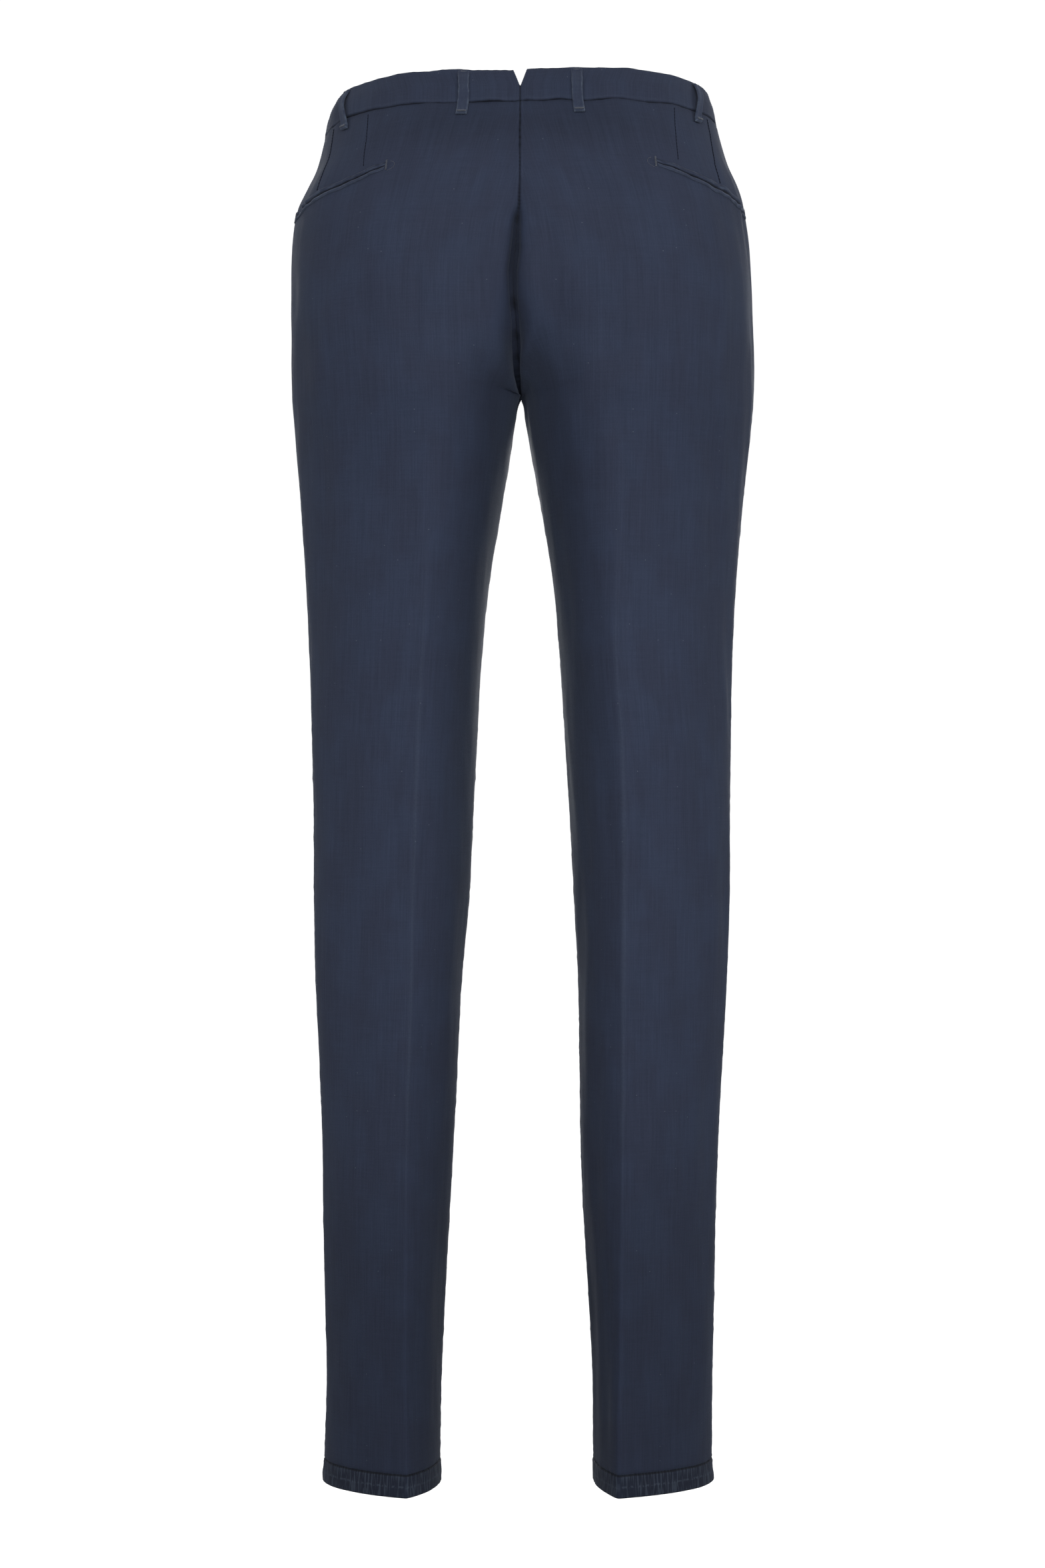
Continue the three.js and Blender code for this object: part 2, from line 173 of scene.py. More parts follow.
def rumple(u, v, pitch_u, pitch_v, seed, waves=22):
    """Soft uneven waves, about 1 high, some pitch_u long across the grain and pitch_v along it."""
    random = np.random.default_rng(seed)
    total = 0
    for _ in range(waves):
        a, b = random.normal(0, 0.5, 2) / (pitch_u, pitch_v)
        total = total + np.cos(2 * np.pi * (a * u + b * v) + random.uniform(0, 2 * np.pi))
    return total / math.sqrt(waves / 2)


FOLD_COLUMNS = ("u0", "v0", "u1", "v1", "half_width", "height", "bow")


def fold(u, v, row):
    """One soft crease, a ridge or with a negative height a trough, that fades out at both ends."""
    f = dict(zip(FOLD_COLUMNS, row))
    du, dv = f["u1"] - f["u0"], f["v1"] - f["v0"]
    length = math.hypot(du, dv)
    along = ((u - f["u0"]) * du + (v - f["v0"]) * dv) / length ** 2
    across = ((u - f["u0"]) * dv - (v - f["v0"]) * du) / length - 4 * f["bow"] * along * (1 - along)
    ends = smoothstep(along, -0.1, 0.35) * smoothstep(1 - along, -0.1, 0.35)
    return f["height"] * bell(across, f["half_width"]) * ends


def seam_roll(edge, radius=0.9):
    """How far the cloth turns in at this distance from a seam."""
    inside = np.clip(radius - edge, 0, radius)
    return radius - np.sqrt(radius ** 2 - inside ** 2)


def distances_across(points):
    """How far each point of a grid lies from the first one of its row."""
    steps = np.linalg.norm(np.diff(points, axis=1), axis=2)
    return np.concatenate([np.zeros((len(points), 1)), np.cumsum(steps, axis=1)], axis=1)


def select_only(piece):
    bpy.ops.object.select_all(action="DESELECT")
    piece.select_set(True)
    bpy.context.view_layer.objects.active = piece


def new_piece(name, mesh):
    """The mesh's object, as the only selected one."""
    piece = bpy.data.objects.new(name, mesh)
    bpy.context.collection.objects.link(piece)
    select_only(piece)
    return piece


def new_material(name):
    """A new material, its node tree and its shader."""
    material = bpy.data.materials.new(name)
    material.use_nodes = True
    return material, material.node_tree, material.node_tree.nodes["Principled BSDF"]


def cloth(name, outer, inner, grain, worn, material, sharp=55):
    """A closed wall of cloth between two grids of points, in millimetres, with a UV map along its grain."""
    rows, columns = outer.shape[:2]
    points = np.concatenate([outer.reshape(-1, 3), inner.reshape(-1, 3)]) * MM
    o, i = np.arange(2 * rows * columns).reshape(2, rows, columns)
    rings = [
        (o[:-1, :-1], o[1:, :-1], o[1:, 1:], o[:-1, 1:]),
        (i[:-1, :-1], i[:-1, 1:], i[1:, 1:], i[1:, :-1]),
        (o[0, :-1], o[0, 1:], i[0, 1:], i[0, :-1]),
        (o[-1, 1:], o[-1, :-1], i[-1, :-1], i[-1, 1:]),
        (o[1:, 0], o[:-1, 0], i[:-1, 0], i[1:, 0]),
        (o[:-1, -1], o[1:, -1], i[1:, -1], i[:-1, -1]),
    ]
    faces = np.concatenate([np.stack([x.ravel() for x in ring], -1) for ring in rings])
    a, b, c = (points[faces[:, k]] for k in (0, 1, 2))
    d = points[faces[:, 3]]
    volume = (a * (np.cross(b, c) + np.cross(c, d))).sum()
    if volume < 0:
        faces = faces[:, ::-1]
    mesh = bpy.data.meshes.new(name)
    mesh.from_pydata(points.tolist(), [], faces.tolist())
    corners = np.empty(len(mesh.loops), np.int32)
    mesh.loops.foreach_get("vertex_index", corners)
    uv = np.tile(grain.reshape(-1, 2) * MM, (2, 1))
    mesh.uv_layers.new(name="grain").data.foreach_set("uv", uv[corners].ravel())
    paint = mesh.attributes.new("worn", "FLOAT", "POINT")
    paint.data.foreach_set("value", np.tile(np.broadcast_to(worn, (rows, columns)).ravel(), 2))
    mesh.materials.append(material)
    piece = new_piece(name, mesh)
    bpy.ops.object.shade_smooth_by_angle(angle=math.radians(sharp))
    return piece


def show_for(node, piece):
    """The piece rides the one body, and is shown in place of this solid."""
    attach(piece, "root")
    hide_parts(node)


def new_node(tree, kind, settings=(), **inputs):
    """A shader node with its settings and its inputs, each a value or another node's socket."""
    node = tree.nodes.new(kind)
    for key, value in dict(settings).items():
        setattr(node, key, value)
    for key, value in inputs.items():
        socket = node.inputs[int(key[1:])] if key[0] == "_" else node.inputs[key.replace("_", " ")]
        if isinstance(value, bpy.types.NodeSocket):
            tree.links.new(value, socket)
        else:
            socket.default_value = value
    return node


def calculate(tree, operation, a, b=0.5, c=0.5):
    return new_node(tree, "ShaderNodeMath", {"operation": operation}, _0=a, _1=b, _2=c).outputs[0]


def blend_colors(tree, share, a, b):
    mix = new_node(tree, "ShaderNodeMix", {"data_type": "RGBA"}, _0=share, _6=a, _7=b)
    return mix.outputs[2]


def ramp(tree, value, low, high):
    """How far a value has come from low to high, kept within 0 and 1."""
    return new_node(tree, "ShaderNodeMapRange", Value=value, _1=low, _2=high).outputs[0]


def stretched_noise(tree, place, across, along, detail=2.0):
    """Noise whose grains are this many millimetres across the grain and along it."""
    moved = new_node(tree, "ShaderNodeMapping", Vector=place, Scale=(1000 / across, 1000 / along, 1))
    noise = new_node(
        tree, "ShaderNodeTexNoise", {"noise_dimensions": "2D"},
        Vector=moved.outputs[0], Scale=1.0, Detail=detail, Roughness=0.55,
    )
    return noise.outputs["Fac"]


RIB_PITCH = 0.00062
PICK_PITCH = 0.00041
RIB_LEAN = 0.62
# The paler colour of rubbed dye and of painted light, and the near-black of painted shade.
RUBBED_AND_LIT = (0.060, 0.078, 0.108, 1)
SHADE_PAINT = (0.0012, 0.0016, 0.003, 1)
# Distances down of the hem's stitched line and of the second, rubbed line, and where the roped cloth begins.
HEM_LINE, HEM_RUB = (HEM_TOP + 0.5) * MM, (HEM_TOP + 8.9) * MM
ROPES_BEGIN, ROPES_FULL = (HEM_TOP - 1) * MM, (HEM_TOP + 0.7) * MM


def twill_group():
    """Navy twill: fine diagonal ribs, uneven yarns both ways, cloudy dye, lint, paler rubbed edges and
    painted light, painted shade, and the hem's painted shade and paler ropes.
    """
    tree = bpy.data.node_groups.new("navy_twill", "ShaderNodeTree")
    for name, kind, way in (
        ("Place", "Vector", "INPUT"), ("Worn", "Float", "INPUT"),
        ("Color", "Color", "OUTPUT"), ("Roughness", "Float", "OUTPUT"), ("Height", "Float", "OUTPUT"),
    ):
        tree.interface.new_socket(name, in_out=way, socket_type=f"NodeSocket{kind}")
    given = new_node(tree, "NodeGroupInput")
    place, worn = given.outputs["Place"], given.outputs["Worn"]
    parts = new_node(tree, "ShaderNodeSeparateXYZ", Vector=place)
    diagonal = calculate(tree, "MULTIPLY_ADD", parts.outputs[1], RIB_LEAN, parts.outputs[0])
    ribs = calculate(tree, "SINE", calculate(tree, "MULTIPLY", diagonal, 2 * math.pi / RIB_PITCH))
    threads = calculate(tree, "SINE", calculate(tree, "MULTIPLY", parts.outputs[1], 2 * math.pi / PICK_PITCH))
    warp = stretched_noise(tree, place, 0.9, 34)
    broad_warp = stretched_noise(tree, place, 3.4, 120)
    weft = stretched_noise(tree, place, 26, 1.1)
    clouds = stretched_noise(tree, place, 34, 46, 3.0)
    grains = stretched_noise(tree, place, 1.5, 1.7, 1.0)
    yarns = calculate(tree, "MULTIPLY_ADD", warp, 0.42, calculate(tree, "MULTIPLY", weft, 0.2))
    yarns = calculate(tree, "MULTIPLY_ADD", broad_warp, 0.24, yarns)
    yarns = calculate(tree, "MULTIPLY_ADD", grains, 0.14, yarns)
    tone = ramp(tree, yarns, 0.36, 0.64)
    color = blend_colors(tree, tone, (0.0160, 0.0214, 0.0398, 1), (0.0198, 0.0264, 0.0490, 1))
    tint = blend_colors(tree, ramp(tree, clouds, 0.4, 0.62), (0.96, 0.93, 0.94, 1), (1.02, 1.04, 1.06, 1))
    multiply = {"data_type": "RGBA", "blend_type": "MULTIPLY"}
    color = new_node(tree, "ShaderNodeMix", multiply, _0=1.0, _6=color, _7=tint).outputs[2]
    dots = new_node(
        tree, "ShaderNodeTexVoronoi", {"voronoi_dimensions": "2D"},
        Vector=new_node(tree, "ShaderNodeMapping", Vector=place, Scale=(90, 90, 1)).outputs[0], Scale=1.0,
    )
    near = calculate(tree, "LESS_THAN", dots.outputs["Distance"], 0.026)
    chosen = new_node(tree, "ShaderNodeSeparateColor", Color=dots.outputs["Color"])
    lint = calculate(tree, "MULTIPLY", near, calculate(tree, "GREATER_THAN", chosen.outputs[0], 0.93))
    color = blend_colors(tree, calculate(tree, "MULTIPLY", lint, 0.5), color, (0.12, 0.14, 0.17, 1))
    # the hem: painted shade darkens the turned-up cloth and its stitched line, and the cloth ropes unevenly
    # below the stitched line, rubbed paler on the ropes
    off_lines = (calculate(tree, "ADD", parts.outputs[1], down) for down in (HEM_LINE, HEM_RUB))
    line_shade, at_rub = (ramp(tree, calculate(tree, "ABSOLUTE", off), 0.0011, 0.0004) for off in off_lines)
    in_hem = ramp(tree, parts.outputs[1], -ROPES_BEGIN, -ROPES_FULL)
    ropes = ramp(tree, stretched_noise(tree, place, 1.5, 14, 0.0), 0.5, 0.68)
    dashes = ramp(tree, stretched_noise(tree, place, 1.8, 3, 0.0), 0.42, 0.6)
    roped = calculate(tree, "MULTIPLY", in_hem, ropes)
    rubs = calculate(tree, "MULTIPLY", at_rub, dashes)
    for mask, strength, shade in (
        (in_hem, 0.42, SHADE_PAINT), (roped, 0.36, RUBBED_AND_LIT), (rubs, 0.35, RUBBED_AND_LIT), (line_shade, 0.75, SHADE_PAINT),
    ):
        color = blend_colors(tree, calculate(tree, "MULTIPLY", mask, strength), color, shade)
    # where the paint is above zero: rubbed dye, and painted light on the inner thigh
    rubbed_and_lit = calculate(tree, "MULTIPLY", worn, calculate(tree, "MULTIPLY_ADD", grains, 1.1, 0.25))
    color = blend_colors(tree, rubbed_and_lit, color, RUBBED_AND_LIT)
    # where the paint is below zero: painted shade
    dark = new_node(tree, "ShaderNodeMath", {"operation": "MULTIPLY", "use_clamp": True}, _0=worn, _1=-1.0)
    color = blend_colors(tree, dark.outputs[0], color, SHADE_PAINT)
    height = calculate(tree, "MULTIPLY_ADD", ribs, 0.16, calculate(tree, "MULTIPLY", threads, 0.06))
    height = calculate(tree, "MULTIPLY_ADD", yarns, 1.5, height)
    height = calculate(tree, "MULTIPLY_ADD", roped, 1.4, height)
    rough = calculate(tree, "MULTIPLY_ADD", yarns, -0.16, 0.9)
    rough = calculate(tree, "MULTIPLY_ADD", worn, -0.08, rough)
    new_node(tree, "NodeGroupOutput", Color=color, Roughness=rough, Height=height)
    return tree


NAVY_TWILL = twill_group()


def twill(name, sheen=0.06, specular=0.2, bump=0.35):
    """A cloth material: the shared twill, with its own sheen, on the piece's own grain."""
    material, tree, shader = new_material(name)
    shader.inputs["Sheen Weight"].default_value = sheen
    shader.inputs["Sheen Roughness"].default_value = 0.45
    shader.inputs["Sheen Tint"].default_value = (0.59, 0.68, 0.89, 1)
    shader.inputs["Specular Tint"].default_value = (0.9, 0.94, 1.0, 1)
    shader.inputs["Specular IOR Level"].default_value = specular
    grain = new_node(tree, "ShaderNodeUVMap", {"uv_map": "grain"})
    worn = new_node(tree, "ShaderNodeAttribute", {"attribute_name": "worn"})
    group = new_node(
        tree, "ShaderNodeGroup", {"node_tree": NAVY_TWILL}, Place=grain.outputs[0], Worn=worn.outputs["Fac"],
    )
    relief = new_node(tree, "ShaderNodeBump", Strength=bump, Distance=0.0003, Height=group.outputs["Height"])
    tree.links.new(group.outputs["Color"], shader.inputs["Base Color"])
    tree.links.new(group.outputs["Roughness"], shader.inputs["Roughness"])
    tree.links.new(relief.outputs[0], shader.inputs["Normal"])
    return material


PANEL_ROWS = rows_by_spacing([
    (BAND_DROP + SEAM_GAP, 0.7), (34, 1.6), (62, 1.7), (68, 1.25), (100, 1.25), (110, 2.2), (190, 2.8),
    (214, 1.4), (222.2, 0.25), (223, 0.25), (232, 1.6), (260, 3.0), (900, 3.9), (1000, 2.6), (1012, 0.9),
    (1018, 0.7), (HEM_DOWN, 0.7),
])
PANEL_ROWS = np.sort(np.append(PANEL_ROWS, CROTCH_DOWN))
# Back pocket: the slit's ends, by turn and by distance down, and how far it bows down in between.
POCKET = {"inner_turn": 1.24, "outer_turn": 1.9, "inner_down": 71.5, "outer_down": 92, "bow": 2.5}
# Soft folds of each back panel, across from its crease (towards the side seam) and down, in millimetres.
BACK_FOLDS = {
    1: [
        (70, 150, 100, 236, 7, 0.75, 3), (56, 140, 30, 226, 9, -0.8, -3), (40, 198, 60, 270, 9, -0.7, 2),
        (27, 216, 40, 300, 11, 0.55, 0), (96, 236, 84, 372, 6, -0.7, 2), (78, 262, 70, 420, 8, 0.5, -2),
        (-22, 150, -34, 236, 10, 0.5, 0), (-44, 196, -30, 262, 8, -0.55, 2), (18, 330, 22, 470, 9, -0.35, 1),
        (54, 420, 46, 600, 10, -0.4, 3), (30, 640, 36, 800, 10, 0.35, -2), (60, 700, 52, 880, 8, -0.35, 1),
        (-30, 520, -24, 700, 8, -0.35, 1), (22, 880, 26, 985, 8, -0.35, 0), (48, 900, 50, 1000, 7, 0.3, 0),
    ],
    -1: [
        (-16, 132, -14, 212, 6, -0.45, 1), (20, 118, 22, 214, 7, -0.5, -2), (48, 150, 62, 250, 9, 0.5, 2),
        (2, 228, -5, 268, 5, -0.6, 0), (-50, 150, -28, 205, 9, -0.7, 2), (-42, 225, -22, 300, 8, 0.5, 0),
        (82, 210, 78, 340, 7, -0.6, 2), (34, 280, 40, 430, 10, -0.4, -2), (62, 360, 54, 540, 9, 0.4, 2),
        (24, 520, 28, 690, 9, -0.35, 1), (-28, 560, -22, 760, 7, -0.35, 0), (52, 640, 58, 820, 9, -0.35, -2),
        (34, 830, 30, 980, 9, 0.35, 0), (56, 900, 52, 1000, 7, -0.3, 0),
    ],
}


def crease(u, down, side, is_back):
    """The pressed crease, sharp on the shin and gone at the seat."""
    height = 1.6 if side < 0 else 1.0
    pressed = smoothstep(down, 235, 420) if is_back else smoothstep(down, 90, 300)
    return height * pressed * np.exp(-np.abs(u) / 8)


def hem_marks(girth, down, seed):
    """The turned-up hem: its stitched line draws in, and the cloth ropes unevenly below it."""
    below = down - HEM_TOP
    line = -0.55 * bell(below, 0.9)
    wave = rumple(girth + 0.35 * below, below, 5.2, 60, seed) * 0.22
    ropes = wave * smoothstep(below, -5, 0.5) * (1 - 0.6 * smoothstep(below, 4, HEM_DEPTH))
    return line + ropes + (0.4 + 0.5 * smoothstep(below, 0, HEM_DEPTH)) * smoothstep(below, 0.2, 1.6)


def pocket_down(turn):
    """Distance down of the back pocket's slit at this turn."""
    t = (turn - POCKET["inner_turn"]) / (POCKET["outer_turn"] - POCKET["inner_turn"])
    drop = POCKET["outer_down"] - POCKET["inner_down"]
    return POCKET["inner_down"] + drop * t + POCKET["bow"] * np.sin(np.pi * t)


def panel_grid(side, turns, downs, lap, lift, is_back):
    """A leg panel's places, directions and distances across from its crease, before it is creased."""
    points = skin(side, turns, downs, lap)
    normals = outward(side, turns, downs, lap)
    across = distances_across(points)
    middle = 1 if is_back else 3
    u = across - across[:, [int(np.argmin(np.abs(turns[0] - middle)))]]
    on = [points[:, 0] - points[:, 3], points[:, -1] - points[:, -4]]
    return {
        "side": side, "turn": turns, "down": downs[:, 0], "u": u if is_back else -u,
        "from_first": across, "from_last": across[:, -1:] - across,
        "points": points + normals * lift[..., None], "normals": normals,
        "carry_on": [way / np.linalg.norm(way, axis=-1, keepdims=True) for way in on],
    }


def shape_panel(panel, folds, seed, is_back):
    """Creases, folds, puckered seams and the hem, as distances out of the form."""
    side, down = panel["side"], panel["down"][:, None]
    u, first, last = panel["u"], panel["from_first"], panel["from_last"]
    out = 0.5 * rumple(u, down, 34, 150, seed) + 0.12 * rumple(u, down, 11, 60, seed + 1)
    out = out + 0.3 * rumple(u, down, 46, 40, seed + 5) * (1 - smoothstep(down, 160, 420))
    out = out * smoothstep(down, BAND_DROP, 80) * (1 - 0.7 * smoothstep(down, 960, 1012))
    for row in folds:
        out = out + fold(u, down, row)
    seam = np.minimum(first, last)
    out = out * smoothstep(seam, 0, 18) + crease(u, down, side, is_back)
    pucker = rumple(down, 0, 8, 8, seed + 2) * 0.16 * np.exp(-seam / 5)
    waist = down - BAND_DROP - SEAM_GAP
    out = out + pucker - seam_roll(seam) - seam_roll(waist)
    out = out + 0.2 * rumple(u, down, 7, 30, seed + 3) * np.exp(-waist / 9)
    out = out + hem_marks(u, down, seed + 4)
    out = out - seam_roll(HEM_DOWN - down, 1.0)
    return out


FLY_ENDS = (155.1, 174.8, 191.5)  # the fly's lap runs to here and has ended by the last
MEET = 0.22  # the sewn turnings close the gap at the bottom of a seam
TUCK = 2.4  # the panels' upper turnings run this far up behind the waistband
TUCK_IN = 1.5  # and lie this far in from the panels' own faces


def finish_panel(name, panel, out, worn, material):
    """The panel's wall, thicker where the hem is turned up inside it."""
    down = panel["down"][:, None]
    panel["points"] = panel["points"] + panel["normals"] * out[..., None]
    turned_up = smoothstep(down, HEM_TOP - 0.8, HEM_TOP)
    thick = WALL + 1.1 * turned_up - 0.9 * smoothstep(down, HEM_DOWN - 1.4, HEM_DOWN) * turned_up
    inner = panel["points"] - panel["normals"] * (thick + 0 * panel["u"])[..., None]
    meets = (down[:, 0] < CROTCH_DOWN) & ((down[:, 0] > FLY_ENDS[-1]) | (panel["turn"][:, 0] < 1))
    middle = section(panel["side"], down[:, 0])["middle"] - panel["side"] * MEET / 2
    is_back = panel["turn"][0, 0] < 1
    middle = middle + sway(down[:, 0]) * is_back
    centre = 0 if is_back else -1
    for face in (panel["points"], inner):
        face[:, 0] += panel["carry_on"][0] * MEET
        face[:, -1] += panel["carry_on"][1] * MEET
        face[meets, centre, 0] = middle[meets]
        face[0] -= TUCK_IN * panel["normals"][0]
        face[0, :, 2] += TUCK
        face[..., 2] += waver(face[..., 0]) * (1 - smoothstep(down, BAND_DROP, 60))
    grain = np.stack([panel["u"], -down + 0 * panel["u"]], -1)
    return cloth(name, panel["points"], inner, grain, worn, material)


NEEDLE_PITCH = 2.4


def wear_and_shading_lines(panel, is_back):
    """Paint for the cloth's colour. Above zero it is paler: dye rubbed at the crease, the seams' edges and
    the hem's fold, and painted light on the inner thigh.
    Below zero it is painted shade: in the seams' bottoms, dotted at the needle's holes, below the band, and
    on the shins."""
    down = panel["down"][:, None]
    u, seam = panel["u"], np.minimum(panel["from_first"], panel["from_last"])
    pressed = smoothstep(down, 300, 520) if is_back else smoothstep(down, 160, 420)
    worn = 0.10 * pressed * bell(u, 1.4)
    worn = worn + 0.10 * bell(seam - 1.2, 0.8)
    end = HEM_DOWN - down
    worn = worn + 0.12 * np.exp(-end / 0.8)
    waist = down - BAND_DROP - SEAM_GAP
    # painted shade in the waist seam's groove and, fading, below the band, deepest across the middle of the
    # back
    worn = worn - np.exp(-waist / 0.3) * (0.9 + 0.3 * rumple(u, 0, 13, 9, 94))
    worn = worn - 0.12 * np.exp(-waist / 3.5)
    towards_middle = 1 - smoothstep(panel["turn"], 1.0, 1.6)
    worn = worn - 0.24 * is_back * bell(waist - 15, 17) * towards_middle
    centre, side_seam = (panel[key] for key in ("from_first", "from_last")[::1 if is_back else -1])
    thigh = smoothstep(down, 170, 250) * (1 - smoothstep(down, 480, 700))
    # painted light on the inner thigh
    worn = worn + 0.32 * bell(centre, 50) * thigh
    # painted shade on the lower legs
    worn = worn - 0.13 * smoothstep(down, 740, 880)
    # painted shade along the centre seam above the crotch, darker at each needle hole, and along the side
    # seam
    hole_shade = np.maximum(np.sin(2 * np.pi * down / NEEDLE_PITCH), 0)
    above = 1 - smoothstep(down, CROTCH_DOWN - 4, CROTCH_DOWN + 4)
    worn = worn - (0.35 + 0.6 * hole_shade) * np.exp(-centre / 0.45) * above
    return worn - 0.9 * np.exp(-side_seam / 0.45)


# The seat's centre seam by the distance down: its drift to the left and its depth, and then for the left half
# and for the right one the soft hollow's depth and width, and the fullness beside it and its distance.
VALLEY = np.array([
    (76, 0, 0, 0, 6, 0, 18, 0, 5, 0, 14),
    (100, 0.3, 2.2, 0.3, 6, 0, 18, 0.2, 5, 0, 14),
    (110, 1.8, 8.5, 1.2, 6, 0, 18, 0.6, 5, 0, 14),
    (130, 2.6, 12.5, 2.4, 6.5, 0.5, 18, 1.2, 5, 0.5, 14),
    (146, 4.6, 10.0, 1.5, 6, 1.2, 20, 0.8, 5, 1.6, 14),
    (160, 4.4, 6.0, 1.2, 7, 2.0, 22, 0.8, 9, 2.6, 15),
    (180, 3.2, 4.0, 1.2, 9, 3.0, 25, 1.4, 12, 4.0, 16),
    (198, 2.4, 4.0, 2.5, 13, 4.0, 30, 1.4, 8, 6.0, 14),
    (212, 1.2, 4.0, 3.5, 15, 3.5, 34, 0.8, 6, 4.0, 13),
    (222, 0, 1.5, 3.0, 15, 2.5, 34, 0.4, 6, 1.5, 13),
    (262, 0, 0, 0, 15, 0, 34, 0, 6, 0, 13),
])
VALLEY_COLUMNS = {1: (2, 3, 4, 5, 6), -1: (2, 7, 8, 9, 10)}


def waver(x):
    """The waist seam's slight rise and fall along the garment's width."""
    return 0.4 * rumple(x, 0, 24, 9, 97)


HOLLOW = {"down": 56, "half_width": 12}


def side_hollow(down):
    """How far the cloth falls in below the waistband at the side seams and on the fronts."""
    return 0.6 * bell(down - HOLLOW["down"], HOLLOW["half_width"])


def sway(down):
    """The centre seam's drift towards the left below the waist."""
    return np.interp(down, VALLEY[:, 0], VALLEY[:, 1])


def side_gap(side, downs, at):
    """Half the side seam's gap as a turn, from the length of the hundredth of a turn that starts here."""
    length = np.linalg.norm(skin(side, at + 0.01, downs) - skin(side, at, downs), axis=-1)
    return SEAM_GAP / 2 / length * 0.01


panels = {}
back_cloth = twill("back_panel_twill")
for name, side in SIDES:
    downs = PANEL_ROWS[:, None]
    inset = side_gap(side, downs, 1.98)
    lateral = closer_at_ends(1, 2, 42)[None, 1:]
    turns = np.concatenate([
        np.repeat(closer_at_ends(0, 1, 36)[None], len(downs), 0), 1 + (lateral - 1) * (1 - inset),
    ], axis=1)
    panel = panel_grid(side, turns, downs, 0.0, np.zeros_like(turns), True)
    out = shape_panel(panel, BACK_FOLDS[side], 10 if side > 0 else 20, True)
    u = panel["u"]
    # the seat falls in below the waistband, and the cloth sinks into the pocket's slit
    at_side = smoothstep(turns, 1.55, 1.95)
    hollow = 1.9 * bell(downs - HOLLOW["down"] - 3 * np.sin(u / 23), HOLLOW["half_width"])
    hollow = hollow * (0.75 + 0.25 * np.cos(u / 31 + side))
    out = out - hollow * (1 - at_side) - side_hollow(downs) * at_side
    # and it is drawn in along the centre seam, which sinks between the two halves and wanders sideways
    beside = panel["from_first"]
    deep, soft, wide, full, full_at = (
        np.interp(downs, VALLEY[:, 0], VALLEY[:, k]) for k in VALLEY_COLUMNS[side]
    )
    out = out - deep * np.exp(-beside / 2.2) - soft * bell(beside, wide)
    out = out + full * bell(beside - full_at, 0.6 * full_at)
    panel["points"][..., 0] += sway(downs) * (1 - smoothstep(beside, 0, 34))
    within = smoothstep(turns, POCKET["inner_turn"] - 0.005, POCKET["inner_turn"] + 0.03)
    within = within * (1 - smoothstep(turns, POCKET["outer_turn"] - 0.06, POCKET["outer_turn"]))
    slit, near = (bell(downs - pocket_down(turns), width) * within for width in (1.7, 9))
    out = out - 0.4 * slit + 0.22 * near * rumple(u, downs, 6, 26, 31 + side)
    # painted shadow inside the pocket's slit
    worn = wear_and_shading_lines(panel, True) - 0.9 * slit
    piece = finish_panel(f"back_panel_{name}", panel, out, worn, back_cloth)
    panels["back", side] = panel
    show_for(f"back_{name}", piece)

# Front panels. Each is a length of the same twill, with its own crease. The upper corner by the side seam is
# cut away for the slanted pocket, and the left one laps over the right one along the fly, where a curved row
# of stitches holds it. The left edge is a plain fold.
MOUTH = {"turn": 0.26, "closes": 174.8, "end": 191.5}
FLY_LAP = 2.5  # the left half runs this far past the centre front
UNDERLAP = 12  # and the right half this far behind it
FRONT_FOLDS = {
    1: [
        (-58, 150, -20, 206, 9, -0.8, 3), (-62, 176, -30, 236, 8, 0.6, 2), (-60, 205, -28, 262, 8, -0.7, 2),
        (18, 120, 26, 240, 9, -0.5, 2), (-40, 250, -30, 380, 9, -0.45, 1), (26, 300, 20, 460, 8, 0.45, -2),
        (-22, 430, -28, 590, 9, -0.4, 1), (20, 600, 24, 780, 9, -0.4, 2), (-20, 820, -24, 980, 7, 0.35, 0),
    ],
    -1: [
        (-56, 142, -22, 196, 9, -0.7, 2), (-60, 170, -28, 230, 9, 0.6, 3), (-58, 200, -34, 256, 8, -0.75, 1),
        (22, 140, 16, 250, 9, -0.5, -2), (-36, 262, -42, 400, 9, -0.4, 2), (28, 330, 24, 480, 8, 0.4, 1),
        (18, 480, 26, 640, 9, -0.4, 1), (-24, 640, -20, 820, 8, -0.4, -1), (22, 840, 18, 985, 8, 0.35, 0),
    ],
}


def mouth(down):
    """How far in front of the side seam the slanted pocket's mouth lies, as a turn."""
    return MOUTH["turn"] * np.maximum(MOUTH["end"] - down, 0) / (MOUTH["end"] - BAND_DROP)


def on_lap(turns, downs):
    """Where the left half lies over the right one, fading out beside it."""
    return (1 - smoothstep(skin(1, turns, downs, FLY_LAP)[..., 0], 18, 30)) * (turns > 3)


INNER_STEPS = 38
front_cloth = twill("front_panel_twill")
for name, side in SIDES:
    downs = PANEL_ROWS[:, None]
    inset = side_gap(side, downs, 2.01)
    start = 2 + mouth(downs) + inset
    turns = np.concatenate([
        start + (3 - start) * closer_at_ends(0, 1, 34)[None, :-1],
        np.repeat(closer_at_ends(3, 4, INNER_STEPS)[None], len(downs), 0),
    ], axis=1)
    if side > 0:
        lap = np.interp(downs, FLY_ENDS[1:], (FLY_LAP, 0))
        lift = 1.55 * on_lap(turns, downs) * np.interp(downs, FLY_ENDS[1:], (1, 0))
    else:
        lap = np.interp(downs, FLY_ENDS, (UNDERLAP, -FLY_LAP, 0))
        lift = np.zeros_like(turns)
    panel = panel_grid(side, turns, downs, lap, lift, False)
    # the crease's column is the same one in every row
    column = turns.shape[1] - 1 - INNER_STEPS
    panel["u"] = panel["from_first"][:, [column]] - panel["from_first"]
    out = shape_panel(panel, FRONT_FOLDS[side], 40 if side > 0 else 50, False)
    out = out - side_hollow(downs)
    piece = finish_panel(f"front_panel_{name}", panel, out, wear_and_shading_lines(panel, False), front_cloth)
    panels["front", side] = panel
    show_for(f"front_{name}", piece)

